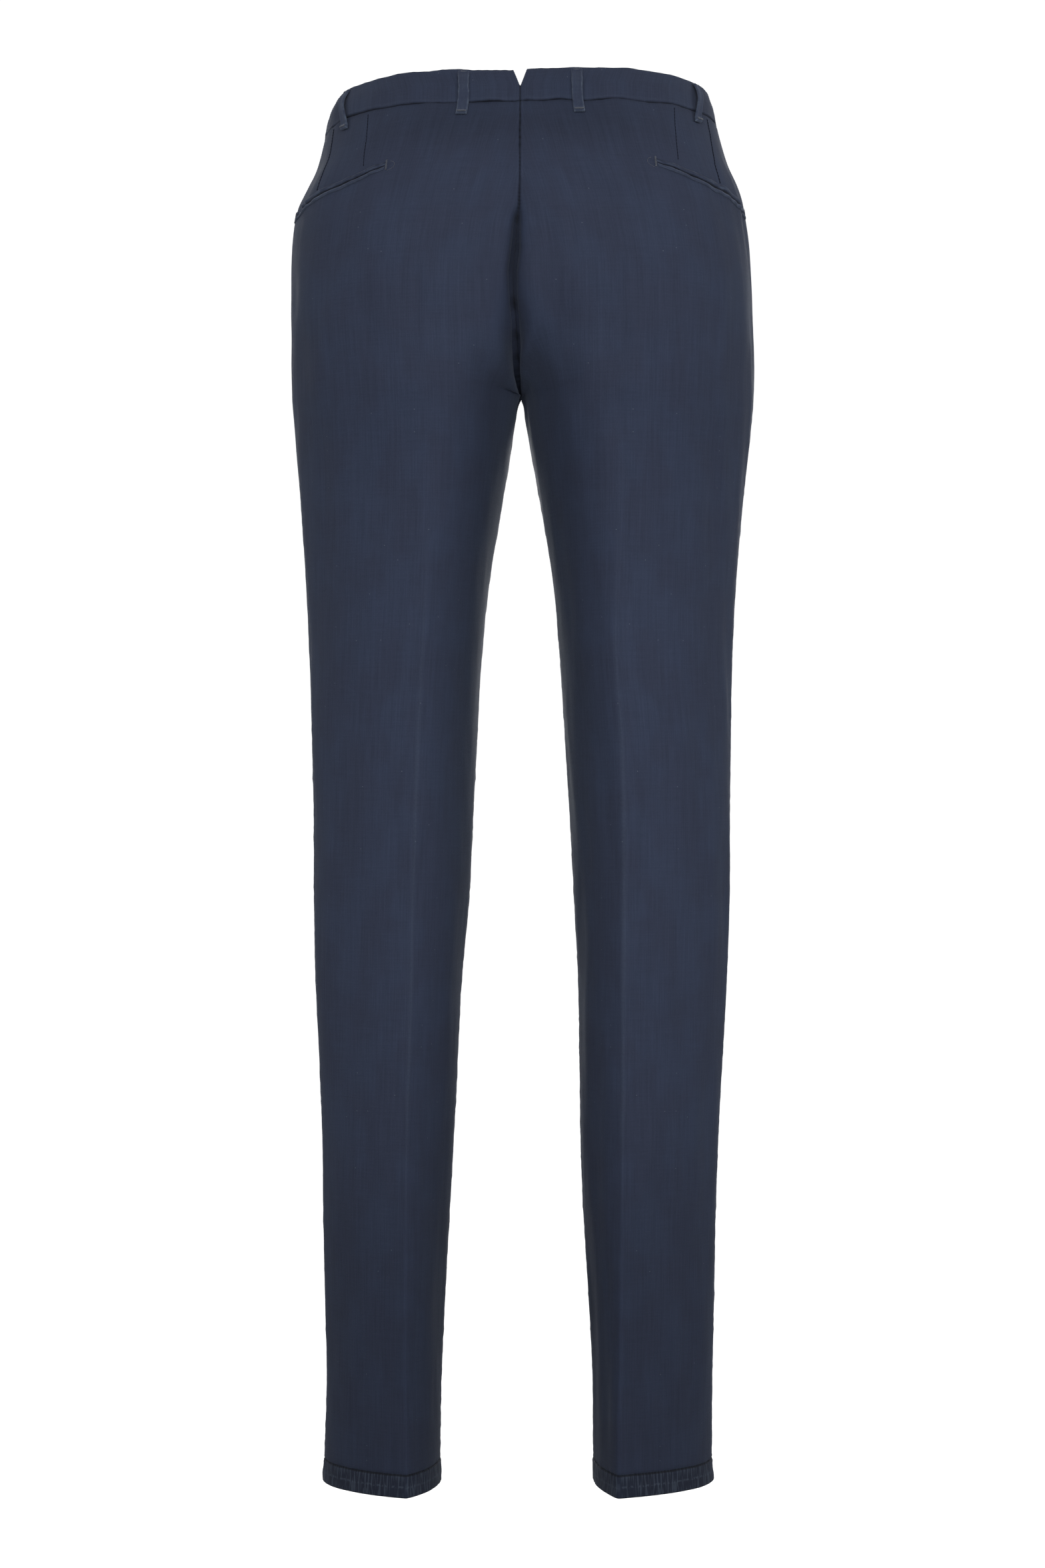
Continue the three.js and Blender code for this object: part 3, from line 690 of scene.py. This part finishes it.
# Front pocket facings. The cloth behind each slanted pocket's mouth is the same twill. It is sewn into the
# side seam level with the back panel, and dips under the front panel's folded edge.
FACING_GAP = 0.0015  # half the side seam's gap, as a turn
TURNING = 0.015  # each of the two columns of the turning behind the back panel's edge, as a turn
facing_cloth = twill("pocket_facing_twill")
for name, side in SIDES:
    downs = np.linspace(BAND_DROP - 4, MOUTH["end"], 100)[:, None]
    start = 2 + FACING_GAP
    edge = start + mouth(downs)
    ending = smoothstep(downs, MOUTH["closes"], 187)
    share = np.concatenate([[-2, -1], np.linspace(0, 1, 15), [1.25, 1.6, 2]])[None]
    room = (3 - edge) / 7
    turns = np.where(share <= 1, start + (edge - start) * share, edge + (share - 1) * room)
    turns = np.where(share < 0, start + TURNING * share, turns)
    points, normals = skin(side, turns, downs), outward(side, turns, downs)
    u = distances_across(points)
    u = u - u[:, [2]]
    out = -1.6 * np.maximum(np.clip(share, 0, 1) ** 0.7, ending) - 1.1 * (share < 0)
    out = out - seam_roll(u) - side_hollow(downs)
    out = out + 0.12 * rumple(u, downs, 9, 24, 61 + side) * smoothstep(u, 0, 6)
    out = np.minimum(out, -2.5 * (1 - smoothstep(downs, BAND_DROP - 0.5, BAND_DROP + 3)))
    outer = points + normals * out[..., None]
    grain = np.stack([u, -downs + 0 * u], -1)
    piece = cloth(f"pocket_facing_{name}", outer, outer - normals * WALL, grain, 0.0 * u, facing_cloth)
    show_for(f"front_pocket_facing_{name}", piece)

# Waistband. Each half is a doubled strip of the twill, folded at the top and sewn down at the waist seam. The
# halves meet in a V notch at the centre back, and the left one laps over the right one at the centre front.
NOTCH = {"half_width": 4.6, "depth": 14}
band_cloth = twill("waistband_twill")
for name, side in SIDES:
    downs = np.concatenate([
        closer_at_ends(0, NOTCH["depth"], 12), closer_at_ends(NOTCH["depth"], BAND_DROP, 12)[1:],
    ])[:, None]
    quarters = [closer_at_ends(k, k + 1, n)[:-1] for k, n in enumerate((30, 46, 34, 34))]
    turns = np.concatenate(quarters + [[4]])[None]
    turns = np.repeat(turns, len(downs), 0)
    notch = NOTCH["half_width"] * (1 - np.minimum(downs / NOTCH["depth"], 1))
    lap = np.where(turns < 1, -notch, FLY_LAP if side > 0 else UNDERLAP)
    points, normals = skin(side, turns, downs, lap), outward(side, turns, downs, lap)
    u = distances_across(points)
    lift = 2.55 * on_lap(turns, downs) if side > 0 else 0 * u
    ends = np.minimum(u, u[:, -1:] - u)
    fold_over = 1.1 - np.sqrt(1.1 ** 2 - np.clip(1.1 - np.minimum(downs, ends), 0, 1.1) ** 2)
    sewn = seam_roll(BAND_DROP - downs)
    waves = 0.42 * rumple(u, downs, 30, 34, 71 + side) + 0.14 * rumple(u, downs, 7, 26, 73 + side)
    waves = waves + 0.16 * rumple(u, 0, 5, 9, 75 + side) * np.exp(-(BAND_DROP - downs) / 4)
    outer = points + normals * (0.6 + lift + waves - fold_over - sewn)[..., None]
    inner = points + normals * (-1.6 + lift + waves + 0.7 * fold_over)[..., None]
    joined = downs[:, 0] >= NOTCH["depth"]
    for face in (outer, inner):
        face[..., 2] += 0.22 * rumple(u, 0, 26, 9, 77 + side) * smoothstep(-downs, -9, 0)
        face[joined, 0, 0] = section(side, downs[joined, 0])["middle"] - side * MEET / 2
        face[-1, :, 2] -= 1.6 * MEET
        face[..., 2] += waver(face[..., 0]) * smoothstep(downs, 8, BAND_DROP)
    grain = np.stack([u, -downs + 0 * u], -1)
    above = BAND_DROP - downs
    worn = 0.16 * np.exp(-downs / 1.2) + 0.1 * np.exp(-ends / 1.2) + 0.08 * bell(above - 1.5, 0.8)
    # painted shade in the waist seam's groove and in the centre back seam
    worn = worn - 0.8 * np.exp(-above / 0.25) - 0.7 * np.exp(-u / 0.4) * joined[:, None]
    piece = cloth(f"waistband_cloth_{name}", outer, inner, grain, worn, band_cloth)
    show_for(f"waistband_{name}", piece)

# Back pockets. Each is a slanted slit between two narrow lips of doubled cloth, with the lips' folded edges
# meeting. They are sewn on at their outer edges, pucker a little, and gape towards the side seam.
LIP = {"length": 80, "width": 3.1, "height": 1.6, "steps": 64}
lip_cloth = twill("pocket_lip_twill", sheen=0.14)


def lay(panel, at, down, by="turn"):
    """Places on a finished panel, by one of its grids and the distance down, and their outward directions."""
    at, down = np.broadcast_arrays(np.asarray(at, float), np.asarray(down, float))
    rows = np.interp(down.ravel(), panel["down"], np.arange(len(panel["down"])))
    known = panel["points"][..., 0] if by == "x" else panel[by]
    columns = np.arange(known.shape[1])
    places, ways = [], []
    for row, a in zip(rows, at.ravel()):
        i = min(int(row), len(panel["down"]) - 2)
        found = []
        for r in (i, i + 1):
            order = known[r] if known[r][0] < known[r][-1] else -known[r]
            c = np.interp(a if known[r][0] < known[r][-1] else -a, order, columns)
            k = min(int(c), len(columns) - 2)
            grids = panel["points"], panel["normals"]
            found.append([grid[r, k] * (1 - c + k) + grid[r, k + 1] * (c - k) for grid in grids])
        f = row - i
        places.append(found[0][0] * (1 - f) + found[1][0] * f)
        ways.append(found[0][1] * (1 - f) + found[1][1] * f)
    ways = np.array(ways)
    ways = ways / np.linalg.norm(ways, axis=-1, keepdims=True)
    return np.array(places).reshape(*at.shape, 3), ways.reshape(*at.shape, 3)


for name, side in SIDES:
    for place, way in (("upper", -1), ("lower", 1)):
        t = closer_at_ends(0, 1, LIP["steps"])[None]
        turns = POCKET["inner_turn"] + (POCKET["outer_turn"] - POCKET["inner_turn"]) * t
        run = t * LIP["length"]
        gape = 0.16 + 0.32 * bell(t - 0.58, 0.22) * (1 if way < 0 else 0.6)
        gape = gape + 0.12 * rumple(run, 0, 5, 9, 81 + side)
        wide = LIP["width"] * (0.86 + 0.14 * np.sin(np.pi * t))
        wide = wide + 0.22 * rumple(run, 0, 7, 9, 85 + side * way)
        across = np.linspace(0, 1, 9)[:, None]
        downs = pocket_down(turns) + way * (gape + wide * (1 - across))
        base, ways = lay(panels["back", side], turns, downs)
        roll = np.sin(np.pi * np.clip(0.12 + across * 0.88, 0, 1)) ** 0.55
        plump = 0.82 + 0.2 * rumple(run, 0, 4.5, 9, 87 + side * way)
        ends = smoothstep(t, 0, 0.03) * smoothstep(1 - t, 0, 0.05)
        height = 0.1 + LIP["height"] * roll * plump * (0.35 + 0.65 * ends)
        outer = base + ways * height[..., None]
        inner = base + ways * (-0.35 - 0.5 * across ** 3 + 0 * height)[..., None]
        grain = np.stack([run + 0 * downs, (1 - across) * LIP["width"] + 0 * turns], -1)
        worn = 0.42 * bell(across - 0.66, 0.22) * (0.6 + 0.4 * rumple(run, across, 3, 9, 89))
        # painted shade along the slit between the lips
        worn = worn - 1.2 * np.exp(-(1 - across) / 0.12)
        if way > 0:
            worn = worn + 0.3 * np.exp(-across / 0.2)
        else:
            # painted shade in the groove along the upper lip's sewn edge
            worn = worn - 1.3 * np.exp(-across / 0.16)
        piece = cloth(f"pocket_{place}_lip_{name}", outer, inner, grain, np.clip(worn, -1, 1), lip_cloth)
        show_for(f"back_pocket_{place}_welt_{name}", piece)

# Belt loops. Each is a narrow folded strip, stitched along both edges and rubbed pale there. Its ends are
# turned under and tacked down on the band's top edge and below the waist seam, and it stands off in between.
LOOP = {"width": 8, "top": 3.0, "below": 10.5, "stand": 2.6, "thickness": 1.3}
LOOP_PLACES = (("back", 1, 0.962), ("side", 1.66, 1.57), ("front", 2.9, 2.9))
loop_cloth = twill("belt_loop_twill", sheen=0.14)


def along_loop(side, top_turn, bottom_turn, t):
    """Turn and distance down of a place t of the way along a loop, and the unit direction across it."""
    turn = top_turn + (bottom_turn - top_turn) * t
    down = LOOP["top"] + (BAND_DROP + LOOP["below"] - LOOP["top"]) * t
    level = skin(side, turn + 0.01, down) - skin(side, turn - 0.01, down)
    return turn, down, level / np.linalg.norm(level, axis=-1, keepdims=True)


for name, side in SIDES:
    for place, top_turn, bottom_turn in LOOP_PLACES:
        t = np.concatenate([
            closer_at_ends(0, 0.12, 6)[:-1], np.linspace(0.12, 0.86, 30)[:-1], closer_at_ends(0.86, 1, 9),
        ])[:, None]
        turns, downs, level = along_loop(side, top_turn, bottom_turn, t)
        w = np.linspace(-0.5, 0.5, 13)[None]
        middle, ways = skin(side, turns, downs), outward(side, turns, downs)
        wide = LOOP["width"] * (1 + 0.03 * rumple(downs, 0, 9, 9, 101 + side))
        ridge = 0.28 * bell(np.abs(w) - 0.36, 0.07) - 0.12 * bell(w, 0.2)
        round_off = 0.55 * smoothstep(np.abs(w), 0.40, 0.5)
        turned = 0.7 * smoothstep(t, 0.885, 0.905) + 0.4 * (1 - smoothstep(t, 0.05, 0.07))
        stand = 0.95 + LOOP["stand"] * np.sin(np.pi * np.clip(t / 0.9, 0, 1)) + 0.25 * w * np.sin(9 * t)
        top = LOOP["thickness"] + turned + ridge - round_off
        top = top - 0.6 * smoothstep(t, 0.985, 1) - 0.5 * (1 - smoothstep(t, 0, 0.02))
        sideways = level * (w * wide)[..., None]
        outer = middle + sideways + ways * (stand + top)[..., None]
        inner = middle + sideways + ways * (stand + 0.25 * round_off - 0.1 * turned)[..., None]
        grain = np.stack([w * wide + 0 * t, -downs + 0 * w], -1)
        worn = 0.6 * smoothstep(np.abs(w), 0.32, 0.46) + 0.5 * smoothstep(t, 0.975, 1)
        worn = worn + 0.12 * bell(w, 0.3)
        worn = worn * (0.75 + 0.25 * rumple(downs, w * 9, 3, 9, 103 + side)) * smoothstep(t, 0.02, 0.3)
        piece = cloth(f"loop_{place}_{name}", outer, inner, grain, np.clip(worn, 0, 1), loop_cloth)
        show_for(f"belt_loop_{place}_{name}", piece)

# Waist button. It is a turned disc of dark horn with a raised rim and four holes, sewn through the band.
BUTTON = {
    "radius": 7.5, "rim": 1.4, "thickness": 2.8, "dish": 0.8, "hole_radius": 0.75, "hole_place": 1.35,
    "turn": 3.5, "down": 13.5, "off": 3.5,
}
seat, facing = (form(1, BUTTON["turn"], BUTTON["down"], FLY_LAP) for form in (skin, outward))
turned_to = Vector(facing).to_track_quat("Z", "Y")
button_at = Vector(seat + facing * (BUTTON["off"] + BUTTON["thickness"] / 2)) * MM
bpy.ops.object.select_all(action="DESELECT")
bpy.ops.mesh.primitive_cylinder_add(vertices=48, radius=BUTTON["radius"] * MM, depth=BUTTON["thickness"] * MM)
button = bpy.context.object
button.name = "horn_button"
bpy.ops.object.mode_set(mode="EDIT")
bpy.ops.mesh.select_mode(type="FACE")
bpy.ops.mesh.select_all(action="DESELECT")
bpy.ops.object.mode_set(mode="OBJECT")
for face in button.data.polygons:
    face.select = face.normal.z > 0.9
bpy.ops.object.mode_set(mode="EDIT")
bpy.ops.mesh.inset(thickness=BUTTON["rim"] * MM, depth=0)
bpy.ops.mesh.inset(thickness=0.9 * MM, depth=-BUTTON["dish"] * MM)
bpy.ops.object.mode_set(mode="OBJECT")
bevel = button.modifiers.new("rounded", "BEVEL")
bevel.width = 0.45 * MM
bevel.segments = 3
bevel.limit_method = "ANGLE"
bevel.angle_limit = math.radians(25)
bpy.ops.object.modifier_apply(modifier="rounded")
for x, y in ((1, 1), (1, -1), (-1, -1), (-1, 1)):
    bpy.ops.object.select_all(action="DESELECT")
    bpy.ops.mesh.primitive_cylinder_add(
        vertices=16, radius=BUTTON["hole_radius"] * MM, depth=8 * MM,
        location=(x * BUTTON["hole_place"] * MM, y * BUTTON["hole_place"] * MM, 0),
    )
    drill = bpy.context.object
    hole = button.modifiers.new("hole", "BOOLEAN")
    hole.operation = "DIFFERENCE"
    hole.object = drill
    bpy.context.view_layer.objects.active = button
    bpy.ops.object.modifier_apply(modifier="hole")
    bpy.data.objects.remove(drill)
button.rotation_mode = "QUATERNION"
button.rotation_quaternion = turned_to
button.location = button_at
select_only(button)
bpy.ops.object.transform_apply(location=True, rotation=True, scale=True)
bpy.ops.object.shade_smooth_by_angle(angle=math.radians(35))
horn, horn_tree, horn_shader = new_material("dark_horn")
horn_shader.inputs["Coat Weight"].default_value = 0.25
horn_shader.inputs["Coat Roughness"].default_value = 0.2
own_place = new_node(horn_tree, "ShaderNodeTexCoord").outputs["Object"]
drawn_out = new_node(horn_tree, "ShaderNodeMapping", Vector=own_place, Scale=(160, 500, 700)).outputs[0]
streaks = new_node(
    horn_tree, "ShaderNodeTexNoise", Vector=drawn_out, Scale=1.0, Detail=3.0, Distortion=1.4,
).outputs["Fac"]
horn_color = blend_colors(horn_tree, streaks, (0.006, 0.006, 0.008, 1), (0.045, 0.038, 0.036, 1))
horn_rough = calculate(horn_tree, "MULTIPLY_ADD", streaks, 0.2, 0.28)
horn_tree.links.new(horn_color, horn_shader.inputs["Base Color"])
horn_tree.links.new(horn_rough, horn_shader.inputs["Roughness"])
button.data.materials.clear()
button.data.materials.append(horn)
show_for("waist_button", button)

# Stitches. Navy sewing thread, a shade off the cloth: the fly's line, the slanted pockets' edges, and the
# dense bar tacks that hold the loops and the ends of the pockets. The hems' lines and the darts are
# near-black thread without gloss, as painted shade along their grooves.


def thread_material(name, dark, pale, sheen, specular):
    """Sewing thread between two shades of navy, with the fine relief of its strands."""
    material, tree, shader = new_material(name)
    shader.inputs["Sheen Weight"].default_value = sheen
    shader.inputs["Specular IOR Level"].default_value = specular
    place = new_node(tree, "ShaderNodeTexCoord").outputs["Object"]
    fine = new_node(tree, "ShaderNodeMapping", Vector=place, Scale=(3000, 3000, 3000)).outputs[0]
    strands = new_node(tree, "ShaderNodeTexNoise", Vector=fine, Scale=1.0, Detail=2.0).outputs["Fac"]
    relief = new_node(tree, "ShaderNodeBump", Strength=0.4, Distance=0.0001, Height=strands)
    tree.links.new(blend_colors(tree, strands, dark, pale), shader.inputs["Base Color"])
    tree.links.new(calculate(tree, "MULTIPLY_ADD", strands, 0.2, 0.6), shader.inputs["Roughness"])
    tree.links.new(relief.outputs[0], shader.inputs["Normal"])
    return material


thread = thread_material("navy_thread", (0.012, 0.015, 0.026, 1), (0.042, 0.052, 0.075, 1), 0.3, 0.5)
# near-black thread without sheen, as painted shade: the hems' stitched lines and the darts' continuous lines
shadow_thread = thread_material("shadow_thread", (0.002, 0.0026, 0.005, 1), (0.007, 0.009, 0.016, 1), 0, 0.05)
# Each back panel's two darts above the pocket, by turn and by distance down.
DARTS = {
    1: [
        ((1.435, 1.40, 1.384, 1.36), (29.5, 48, 60, 69)),
        ((1.71, 1.685, 1.662, 1.634, 1.618), (30, 44, 54, 68, 81)),
    ],
    -1: [
        ((1.437, 1.411, 1.383, 1.355), (29.5, 42.3, 56.4, 68)),
        ((1.69, 1.668, 1.637, 1.594, 1.586), (30, 44, 54.3, 67, 80)),
    ],
}
DART_THREADS = (("inner", 0.5), ("outer", 0.72))
# A stitch's rings: each one's place along it, its size, and its rise above the cloth in thicknesses.
STITCH_RINGS = (
    (-0.5, 0.0, -0.6), (-0.42, 0.7, -0.25), (-0.15, 1.0, 0.15), (0.15, 1.0, 0.15), (0.42, 0.7, -0.25),
    (0.5, 0.0, -0.6),
)


def stitches(name, starts, ends, ways, thick=0.42, material=thread):
    """One piece of thread per start and end, each a short bead that dips into the cloth at both ends."""
    points, faces = [], []
    corners = [(math.cos(a), math.sin(a)) for a in np.linspace(0, 2 * math.pi, 7)[:-1]]
    for start, end, way in zip(starts, ends, ways):
        first = len(points)
        along = end - start
        beside = np.cross(along, way)
        beside = beside / max(np.linalg.norm(beside), 1e-9)
        center = (start + end) / 2
        for place, size, rise in STITCH_RINGS:
            middle = center + along * place + way * (thick * (0.35 + rise))
            if size == 0:
                points.append(middle)
                continue
            points += [middle + thick / 2 * size * (x * beside + y * way) for x, y in corners]
        rings = [first + 1 + 6 * r for r in range(4)]
        for k in range(6):
            n = (k + 1) % 6
            faces.append((first, rings[0] + n, rings[0] + k))
            for ring, further in zip(rings, rings[1:]):
                faces.append((ring + k, ring + n, further + n, further + k))
            faces.append((rings[3] + k, rings[3] + n, first + 25))
    mesh = bpy.data.meshes.new(name)
    mesh.from_pydata((np.array(points) * MM).tolist(), [], faces)
    mesh.materials.append(material)
    piece = new_piece(name, mesh)
    bpy.ops.object.mode_set(mode="EDIT")
    bpy.ops.mesh.select_all(action="SELECT")
    bpy.ops.mesh.normals_make_consistent(inside=False)
    bpy.ops.object.mode_set(mode="OBJECT")
    bpy.ops.object.shade_smooth()
    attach(piece, "root")


def sewn_line(path, ways, pitch=3.0, fill=0.66):
    """Starts, ends and directions of even stitches along a path of points."""
    lengths = np.concatenate([[0], np.cumsum(np.linalg.norm(np.diff(path, axis=0), axis=1))])
    count = int(lengths[-1] / pitch)
    begin = (np.arange(count) + 0.17) * lengths[-1] / count
    end = begin + fill * pitch
    return tuple(
        np.stack([np.interp(at, lengths, values[:, k]) for k in range(3)], -1)
        for at, values in ((begin, path), (end, path), ((begin + end) / 2, ways))
    )


def bar_tack(center, way, along, length, width):
    """A dense zigzag of thread across a short bar."""
    along = along / np.linalg.norm(along)
    beside = np.cross(along, way)
    steps = np.linspace(-0.5, 0.5, max(int(length / 0.42), 3))
    starts = [center + along * length * s - beside * width / 2 for s in steps]
    ends = [center + along * (length * s + 0.18) + beside * width / 2 for s in steps]
    return starts, ends, [way] * len(steps)


for name, side in SIDES:
    runs = []
    for part in ("back", "front"):
        panel = panels[part, side]
        u = np.linspace(panel["u"][-1].min() + 1.5, panel["u"][-1].max() - 1.5, 120)
        line, ways = lay(panel, u, HEM_TOP + 0.2, "u")
        runs.append(sewn_line(line, ways, pitch=2.7, fill=0.5))
    joined = [np.concatenate(x) for x in zip(*runs)]
    # the hems' stitches are near-black, painted shade along the stitched line
    stitches(f"hem_stitches_{name}", *joined, thick=0.3, material=shadow_thread)

    downs = np.linspace(BAND_DROP + 2, MOUTH["end"] - 4, 60)
    edge = panels["front", side]
    turns = np.array([edge["turn"][np.argmin(np.abs(edge["down"] - d)), 0] for d in downs])
    line, ways = lay(edge, turns + 0.065, downs, "turn")
    stitches(f"slant_pocket_stitches_{name}", *sewn_line(line, ways), thick=0.36)

    panel = panels["back", side]
    for (place, thick), dart in zip(DART_THREADS, DARTS[side]):
        given = np.arange(len(dart[0]))
        turns, downs = (np.interp(np.linspace(0, given[-1], 40), given, values) for values in dart)
        line, ways = lay(panel, turns, downs)
        # the dart's beads overlap into one continuous near-black line, sunk a little, as painted shade in the
        # dart's groove
        sewn = sewn_line(line - 0.1 * thick * ways, ways, pitch=2.6, fill=1.12)
        stitches(f"dart_{place}_{name}", *sewn, thick=thick, material=shadow_thread)

    tacks = []
    turn = np.array([POCKET["inner_turn"] - 0.008, POCKET["outer_turn"] - 0.02])
    (inner_end, outer_end), (inner_way, outer_way) = lay(panel, turn, pocket_down(turn))
    upright = np.array([0.0, 0.0, 1.0])
    for center, way in ((inner_end, inner_way), (outer_end, outer_way)):
        tacks.append(bar_tack(center + way * 0.9, way, upright - way * way[2], length=7.4, width=1.3))
    bow_at = np.linspace(-1, 1, 15)
    bow_turn = POCKET["inner_turn"] - 0.012 - 0.032 * np.sqrt(1 - 0.96 * bow_at ** 2)
    bow_down = pocket_down(POCKET["inner_turn"]) + 3.4 * bow_at
    line, ways = lay(panel, bow_turn, bow_down)
    tacks.append(sewn_line(line, ways, pitch=0.9, fill=0.8))
    stitches(f"pocket_tacks_{name}", *(np.concatenate(x) for x in zip(*tacks)), thick=0.4)

    tacks = []
    for place, top_turn, bottom_turn in LOOP_PLACES:
        for t, off in ((0.95, 3.3), (0.035, 2.6)):
            turn, down, level = along_loop(side, top_turn, bottom_turn, t)
            center, way = skin(side, turn, down), outward(side, turn, down)
            tacks.append(bar_tack(center + way * off, way, level, length=6.6, width=1.5))
    stitches(f"loop_tacks_{name}", *(np.concatenate(x) for x in zip(*tacks)), thick=0.4)

# the fly's line, on the left front only: straight down, and then a quarter circle in to the centre
FLY = {"out": 33.0, "bend_down": 138, "radius": 30}
bend = np.linspace(0.05, np.pi / 2, 26)
downs = np.concatenate([
    np.linspace(BAND_DROP + 2, FLY["bend_down"], 50), FLY["bend_down"] + FLY["radius"] * np.sin(bend),
])
across = np.concatenate([np.full(50, FLY["out"]), FLY["out"] - FLY["radius"] * (1 - np.cos(bend))])
line, ways = lay(panels["front", 1], across, downs, "x")
stitches("fly_stitches", *sewn_line(line, ways, pitch=2.8), thick=0.38)

# Studio. A pale floor just below the hems, a plain white surround, and soft lamps on all sides. A small one
# stands low behind the garment and lights the seat from below.
FLOOR_HEIGHT = -1.05
bpy.ops.object.select_all(action="DESELECT")
bpy.ops.mesh.primitive_plane_add(size=60, location=(0, 0, FLOOR_HEIGHT))
floor = bpy.context.object
floor.name = "pale_floor"
paper, paper_tree, paper_shader = new_material("pale_paper")
paper_shader.inputs["Base Color"].default_value = (0.22, 0.22, 0.22, 1)
paper_shader.inputs["Roughness"].default_value = 0.9
paper_shader.inputs["Emission Color"].default_value = (1, 1, 1, 1)
glow = new_node(paper_tree, "ShaderNodeLightPath")
paper_tree.links.new(glow.outputs["Is Camera Ray"], paper_shader.inputs["Emission Strength"])
floor.data.materials.append(paper)

world = bpy.data.worlds.new("white_surround")
bpy.context.scene.world = world
world.use_nodes = True
sky = world.node_tree
background = sky.nodes["Background"]
background.inputs["Color"].default_value = (1, 1, 1, 1)
seen = new_node(sky, "ShaderNodeLightPath")
strength = new_node(sky, "ShaderNodeMapRange", Value=seen.outputs["Is Camera Ray"], _3=0.33, _4=1.05)
sky.links.new(strength.outputs[0], background.inputs["Strength"])

# Each lamp's place, the height that it faces on the garment's middle line, its size in metres, its power in
# watts and its spread in degrees.
LAMPS = (
    ("left_softbox", (0.42, 2.45, 0.1), -0.42, 1.1, 3.65, 58),
    ("right_softbox", (-0.52, 2.4, 0.1), -0.42, 1.1, 4.0, 58),
    ("front_left_softbox", (0.45, -2.45, 0.1), -0.42, 1.1, 4.0, 58),
    ("front_right_softbox", (-0.45, -2.45, 0.1), -0.42, 1.1, 4.0, 58),
    ("left_side", (2.6, 0.35, 0.2), -0.42, 1.2, 4.4, 90),
    ("right_side", (-2.6, 0.5, 0.2), -0.42, 1.2, 6.6, 90),
    ("overhead", (0, 0.2, 2.4), -0.42, 2.0, 6, 180),
    ("low_softbox", (0, 1.5, -0.98), -0.3, 0.5, 0.75, 60),
)
for name, place, height, size, power, spread in LAMPS:
    lamp = bpy.data.lights.new(name, "AREA")
    lamp.size = size
    lamp.energy = power
    lamp.spread = math.radians(spread)
    stand = bpy.data.objects.new(name, lamp)
    stand.location = place
    stand.rotation_euler = (Vector((0, 0, height)) - Vector(place)).to_track_quat("-Z", "Y").to_euler()
    bpy.context.collection.objects.link(stand)

lens = bpy.data.cameras.new("camera")
lens.lens = 80
lens.sensor_width = 36
camera = bpy.data.objects.new("camera", lens)
camera.location = (0, 2.613, -0.511)
camera.rotation_euler = (math.radians(90), 0, math.radians(180))
bpy.context.collection.objects.link(camera)
bpy.context.scene.camera = camera
bpy.context.scene.view_settings.view_transform = "Standard"
bpy.context.scene.view_settings.look = "None"
